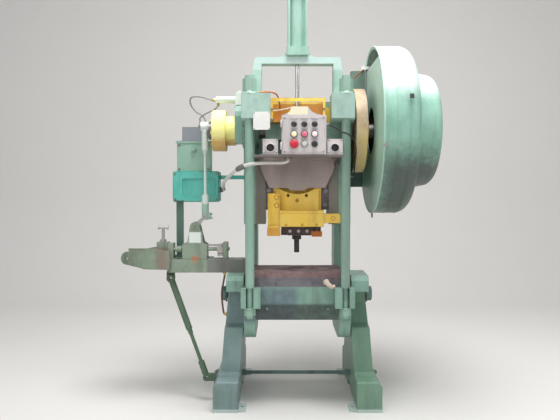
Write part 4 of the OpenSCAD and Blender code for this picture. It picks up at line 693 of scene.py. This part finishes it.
# The lever leans as the switch stands at rest: its outline turned in the panel's plane
turn = np.array([[math.cos(selector["lean"]), -math.sin(selector["lean"])],
                 [math.sin(selector["lean"]), math.cos(selector["lean"])]])
for col, name in enumerate(["selector_left", "selector_middle", "selector_right"]):
    x, z = panelSpot(col, 0)
    skirt = turned(selector["skirt"], (x, panel["face"], z), "y", 32)
    lever = plate(selector["lever"] @ turn + (x, z), panel["face"] - selector["leverFront"],
                  panel["face"] - selector["leverBack"], 2.0)
    makePiece(name + "_knob", together(skirt, lever), name, "blackPlastic", "black_plastic", replaced=[name])
    mark = plate(selector["mark"] @ turn + (x, z), panel["face"] - selector["markFront"],
                 panel["face"] - selector["markBack"], 0.4)
    makePiece(name + "_pointer", mark, name, "whitePlastic", "white_plastic")

lamp = {"seat": panel["face"] + 5, "ring": [(-4, 21), (-9, 21), (-13, 19), (-13, 15.8), (-8, 15.8)],
        "lens": [(-7, 0), (-7, 17.5), (-12, 17.5), (-14, 16.2), (-19, 15.6), (-24, 13.5), (-27.5, 10),
                 (-29.5, 5), (-30, 0)]}
for col, look in enumerate(lenses):
    x, z = panelSpot(col, 1)
    lens = turned(lamp["lens"], (x, lamp["seat"], z), "y", 32)
    makePiece("lamp_lens_%d" % col, lens, "frame", look, "white_plastic", sharp=60)
    ring = turned(lamp["ring"], (x, lamp["seat"], z), "y", 32)
    makePiece("lamp_ring_%d" % col, ring, "frame", "blackPlastic", "black_plastic")

mushroom = [(0.2, 0), (0.2, 11), (-9.6, 11), (-9.6, 24), (-12, 26.5), (-14, 25.5), (-19, 20), (-22, 11),
            (-22.6, 0)]
flush = [(0.2, 0), (0.2, 11), (-5, 11), (-5.2, 15.5), (-11, 15.8), (-14.5, 14.5), (-16, 11), (-16.6, 0)]
buttons = {"stop_button": (mushroom, "redPlastic", "red_plastic"),
           "start_button": (flush, "whitePlastic", "white_plastic"),
           "inch_button": (flush, "blackPlastic", "black_plastic")}
for col, (name, (profile, look, slotName)) in enumerate(buttons.items()):
    x, z = panelSpot(col, 2)
    cap = turned(profile, (x, panel["face"], z), "y", 40)
    makePiece(name + "_cap", cap, name, look, slotName, sharp=60, replaced=[name])

legend = {"above": 28.5, "wide": 40, "high": 9, "thick": 2.0, "sunk": 0.4}  # a bare plate over each element
legends = []
for col in range(3):
    for row in range(3):
        x, z = panelSpot(col, row)
        outline = roundOutline(x, z + legend["above"], legend["wide"], legend["high"], 2, 4)
        back = panel["face"] + legend["sunk"]
        legends.append(plate(outline, back - legend["thick"], back, 0.5))
makePiece("legend_plates", together(*legends), "frame", "legendGrey", "control_grey")

door = {"x": 31, "z": 1705, "screws": (114, 98), "hinges": [(-101, -436, z) for z in (1640, 1770)],
        "drips": (1802.5, 1607.5), "dripX": np.array([-90, 152, 152, -90])}
corners = [(door["x"] + sx * door["screws"][0], panel["face"], door["z"] + sz * door["screws"][1])
           for sx in signs for sz in signs]
doorScrews = [capScrew(corner, r=4.5, tall=3.5) for corner in corners]
makePiece("door_screws", together(*doorScrews), "frame", "boltSteel", "oily_steel")
knuckle = [(-22, 0), (-22, 5.5), (-20, 6.5), (20, 6.5), (22, 5.5), (22, 0)]
hinges = [turned(knuckle, place, "z", 16) for place in door["hinges"]]
makePiece("door_hinges", together(*hinges), "frame", "boxGrey", "control_grey")
drips = []
for z in door["drips"]:
    outline = np.stack([door["dripX"], z + np.array([-1, -1, 1, 1])], -1)
    drips.append(plate(outline, panel["face"] - 1.2, panel["face"] + 0.5, 0.4))
makePiece("door_drips", together(*drips), "frame", "boxGrey", "control_grey")

print("palm stations")
palm = {"x": {"palm_button_left": -166, "palm_button_right": 214}, "front": -416, "buttonZ": 1630.1,
        "boxZ": 1637.3, "screws": 36, "domeBack": 12,
        "guard": [(1, 22.6), (1, 28), (-9, 28), (-13, 26.5), (-14, 24.6), (-13, 22.8), (1, 22.6)],
        "dome": [(14, 0), (14, 9), (0, 9), (0, 21.4), (-4, 21.6), (-8, 20), (-11, 14), (-12.5, 7),
                 (-12.8, 0)]}
for name, x in palm["x"].items():
    guard = turned(palm["guard"], (x, palm["front"], palm["buttonZ"]), "y", 40)
    makePiece(name + "_guard_ring", guard, "frame", "boxGrey", "control_grey")
    dome = turned(palm["dome"], (x, palm["front"] + palm["domeBack"], palm["buttonZ"]), "y", 40)
    makePiece(name + "_dome", dome, name, "blackPlastic", "black_plastic", sharp=60, replaced=[name])
    places = [(x + sx * palm["screws"], palm["front"], palm["boxZ"] + sz * palm["screws"])
              for sx in signs for sz in signs]
    screws = [capScrew(place, r=4, tall=3) for place in places]
    makePiece(name + "_box_screws", together(*screws), "frame", "boltSteel", "oily_steel")

print("glands, unions and bolts")


def gland(end, inner, r):
    # hexagon nut and dome nut at a cord's end, standing out along the axis nearest to the way of its path
    way = inner - end
    along = int(np.argmax(np.abs(way)))
    s = float(np.sign(way[along]))
    nut = turned([(0, r), (0, r * 1.9), (9 * s, r * 1.9), (9 * s, r)], end, "xyz"[along], 6)
    dome = [(8 * s, r), (8 * s, r * 1.6), (15 * s, r * 1.5), (20 * s, r * 1.12), (20 * s, r)]
    return together(nut, turned(dome, end, "xyz"[along], 20))


glandLooks = {"conduit": "boltSteel", "air_hose_long": "brassFitting", "air_hose_short": "brassFitting",
              "palm_cable": "greyPlastic", "feed_hose": "brassFitting"}
for name, look in glandLooks.items():
    p = cordPaths[name]
    r = cords[name]["radius"]
    glands = together(gland(p[0], p[6], r), gland(p[-1], p[-8], r))
    makePiece(name + "_glands", glands, "frame", look, cords[name]["slot"])
unionX = -348  # where the union sits on the conduit
unionAt = int(np.argmin(np.abs(cordPaths["conduit"][:, 0] - unionX)))
collar = tube(cordPaths["conduit"][unionAt - 5:unionAt + 6:2], [14, 17, 17, 17, 17, 14], 20)
makePiece("conduit_union", collar, "frame", "boltSteel", "oily_steel")
# Bolt heads that face the front: the body, their places, their width across flats and their height
boltRows = {
    "gib_screws": ("frame", [(s * 178, -146, 1256 + z) for s in signs for z in (30, 120, 210)], 18, 10),
    "knockout_bolt": ("knockout_bar", [(224, -190, 1203)], 19, 9),
    "apron_screws": ("frame", [(s * 220, -180, 1580) for s in signs], 13, 7),
    "tray_screws": ("frame", [(s * 158, -304, z) for s in signs for z in (1806, 1870)], 10, 5),
    "bracket_screws": ("slide", [(-130, -181, z) for z in (1284, 1334)], 22, 11),
    "arm_bolts": ("frame", [(s * 250, -182, 1545) for s in signs], 16, 9),
    "bed_bolts": ("frame", [(x, -225, 640) for x in (-190, 190)], 18, 8),
    "valve_screws": ("frame", [(-670.5 + s * 138, 66, 1403 + t * 86) for s in signs for t in signs], 10, 5),
    "junction_screws": ("frame", [(-686 + s * 98, 88, 1600 + t * 80) for s in signs for t in signs], 10, 5),
    "tower_bolts": ("frame", [(x, -48.5, 883.5) for x in (-720, -612)], 16, 8),
}
paintedHeads = {"knockout_bolt": ("slideYellow", "machine_yellow"),
                "bracket_screws": ("slideYellow", "machine_yellow"),
                "bed_bolts": ("frameEnamel", "frame_green"), "tower_bolts": ("feedEnamel", "frame_green")}
for name, (body, places, across, tall) in boltRows.items():
    heads = [hexHead(place, across, tall) for place in places]
    makePiece(name, together(*heads), body, *paintedHeads.get(name, ("boltSteel", "oily_steel")))
toolScrews = [capScrew((x, -153, 1121), r=10, tall=9) for x in (-46, 8, 62)]
makePiece("tool_screws", together(*toolScrews), "slide", "brightSteel", "oily_steel")

print("guard trim")
# A rolled bead round the rim and weld beads round the drum, each at x, with its radius about the crank axis
# and the radius of its wire; a vent slot, a bolt on the rim and a ring at the bottom
guardTrim = {"rim": (486, 534, 4.5), "beads": [(562, 534.5, 2.2), (634, 534.5, 2.2), (716, 359, 2.2)],
             "slot": (640, -515, 1911), "slotOut": 18, "bolt": (490, -531, 1640),
             "ring": (487, -60, 1219), "ringR": 15, "ringWire": 3.5}


def hoop(x, r, wire, sides=120, around=10):
    # small circle of radius wire carried round a circle of radius r about the crank axis at x
    a = np.linspace(0, 2 * np.pi, sides, endpoint=False)[:, None]
    b = np.linspace(0, 2 * np.pi, around, endpoint=False)[None]
    far = r + wire * np.cos(b)
    points = np.stack([x + wire * np.sin(b) + 0 * a, far * np.cos(a), crankZ + far * np.sin(a)], -1)
    faces = gridFaces(sides + 1, around, True) % (sides * around)
    return points.reshape(-1, 3), faces


hoops = [hoop(*row) for row in [guardTrim["rim"]] + guardTrim["beads"]]
makePiece("guard_beads", together(*hoops), "frame", "guardEnamel", "guard_green", sharp=60)
# The slot's plate leans with the drum: turned about x by its own angle round the crank axis, then moved out
slotX, slotY, slotZ = guardTrim["slot"]
lean = math.atan2(slotZ - crankZ, -slotY)
cosLean, sinLean = math.cos(lean), math.sin(lean)
tilt = np.array([[1, 0, 0], [0, cosLean, -sinLean], [0, sinLean, cosLean]])
slotPoints, slotFaces = plate(roundOutline(0, 0, 26, 30, 6), -1.5, 2.5, 0.6)
slotPlace = (slotX, slotY - guardTrim["slotOut"] * cosLean, slotZ + guardTrim["slotOut"] * sinLean)
makePiece("guard_vent", (slotPoints @ tilt + slotPlace, slotFaces), "frame", "blackPlastic", "black_plastic")
makePiece("guard_rim_bolt", hexHead(guardTrim["bolt"], 15, 6), "frame", "brightSteel", "oily_steel")
a = np.linspace(0, 2 * np.pi, 25)
circle = guardTrim["ringR"] * np.stack([0 * a, np.sin(a), np.cos(a)], -1)
ring = tube(circle + guardTrim["ring"], guardTrim["ringWire"], 10, capped=False)
makePiece("guard_ring", ring, "frame", "boltSteel", "oily_steel", sharp=60)

print("plates and pipes")
nozzle = {"path": [(176, -226, 806), (182, -246, 806), (194, -252, 794), (214, -250, 782), (232, -246, 786)],
          "seat": (180, -248, 806), "base": [(0, 0), (0, 14), (14, 16), (22, 9), (22, 0)]}
path = smoothPath(nozzle["path"], 8)
spout = tube(path, np.linspace(18, 11, len(path)), 18)
base = turned(nozzle["base"], nozzle["seat"], "z", 18)
makePiece("blow_nozzle", together(spout, base), "frame", "palePlastic", "white_plastic", sharp=50)
# Sheet covers over the shaft openings, between the lugs and the operating box: middle, width and height
shaftCovers = {"front": -214, "back": -208, "sheets": [(-136, 1742, 124, 100), (214, 1722, 150, 150)]}
covers = [plate(roundOutline(*cover, 6, 4), shaftCovers["front"], shaftCovers["back"], 1.0)
          for cover in shaftCovers["sheets"]]
makePiece("shaft_covers", together(*covers), "frame", "frameEnamel", "frame_green")
placard = {"x": -220, "z": 1799, "wide": 102, "high": 108, "front": -311, "back": -308.2,
           "rivetX": 45, "rivetZ": 48}
outline = roundOutline(placard["x"], placard["z"], placard["wide"], placard["high"], 4, 4)
card = plate(outline, placard["front"], placard["back"], 0.8)
makePiece("bare_placard", card, "frame", "cardWhite", "control_grey")
places = [(placard["x"] + sx * placard["rivetX"], placard["front"], placard["z"] + sz * placard["rivetZ"])
          for sx in signs for sz in signs]
rivets = [turned([(0, 0), (0, 4), (-1.6, 3), (-2.2, 0)], place, "y", 12) for place in places]
makePiece("placard_rivets", together(*rivets), "frame", "boltSteel", "oily_steel")
pipes = {
    "oil_pipe_crown": (5, "copper", [
        (-236, -200, 1967), (-236, -200, 1984), (-212, -194, 1991), (-160, -182, 1990), (-128, -174, 1974),
        (-116, -160, 1940), (-110, -142, 1908), (-110, -122, 1890)]),
    "oil_pipe_tray": (4, "whitePlastic", [
        (-163, -215, 1872), (-120, -212, 1874), (-70, -204, 1884), (-34, -184, 1896), (-24, -150, 1900),
        (-22, -122, 1900)]),
    "oil_pipe_bar": (5, "copper", [
        (276, -135, 2040), (300, -110, 2052), (360, 20, 2100), (420, 130, 2160), (456, 186, 2196),
        (462, 194, 2202)]),
}
for name, (radius, look, points) in pipes.items():
    makePiece(name, tube(smoothPath(points, 10), radius, 14), "frame", look, "oily_steel")

bpy.context.scene.view_settings.view_transform = "Standard"
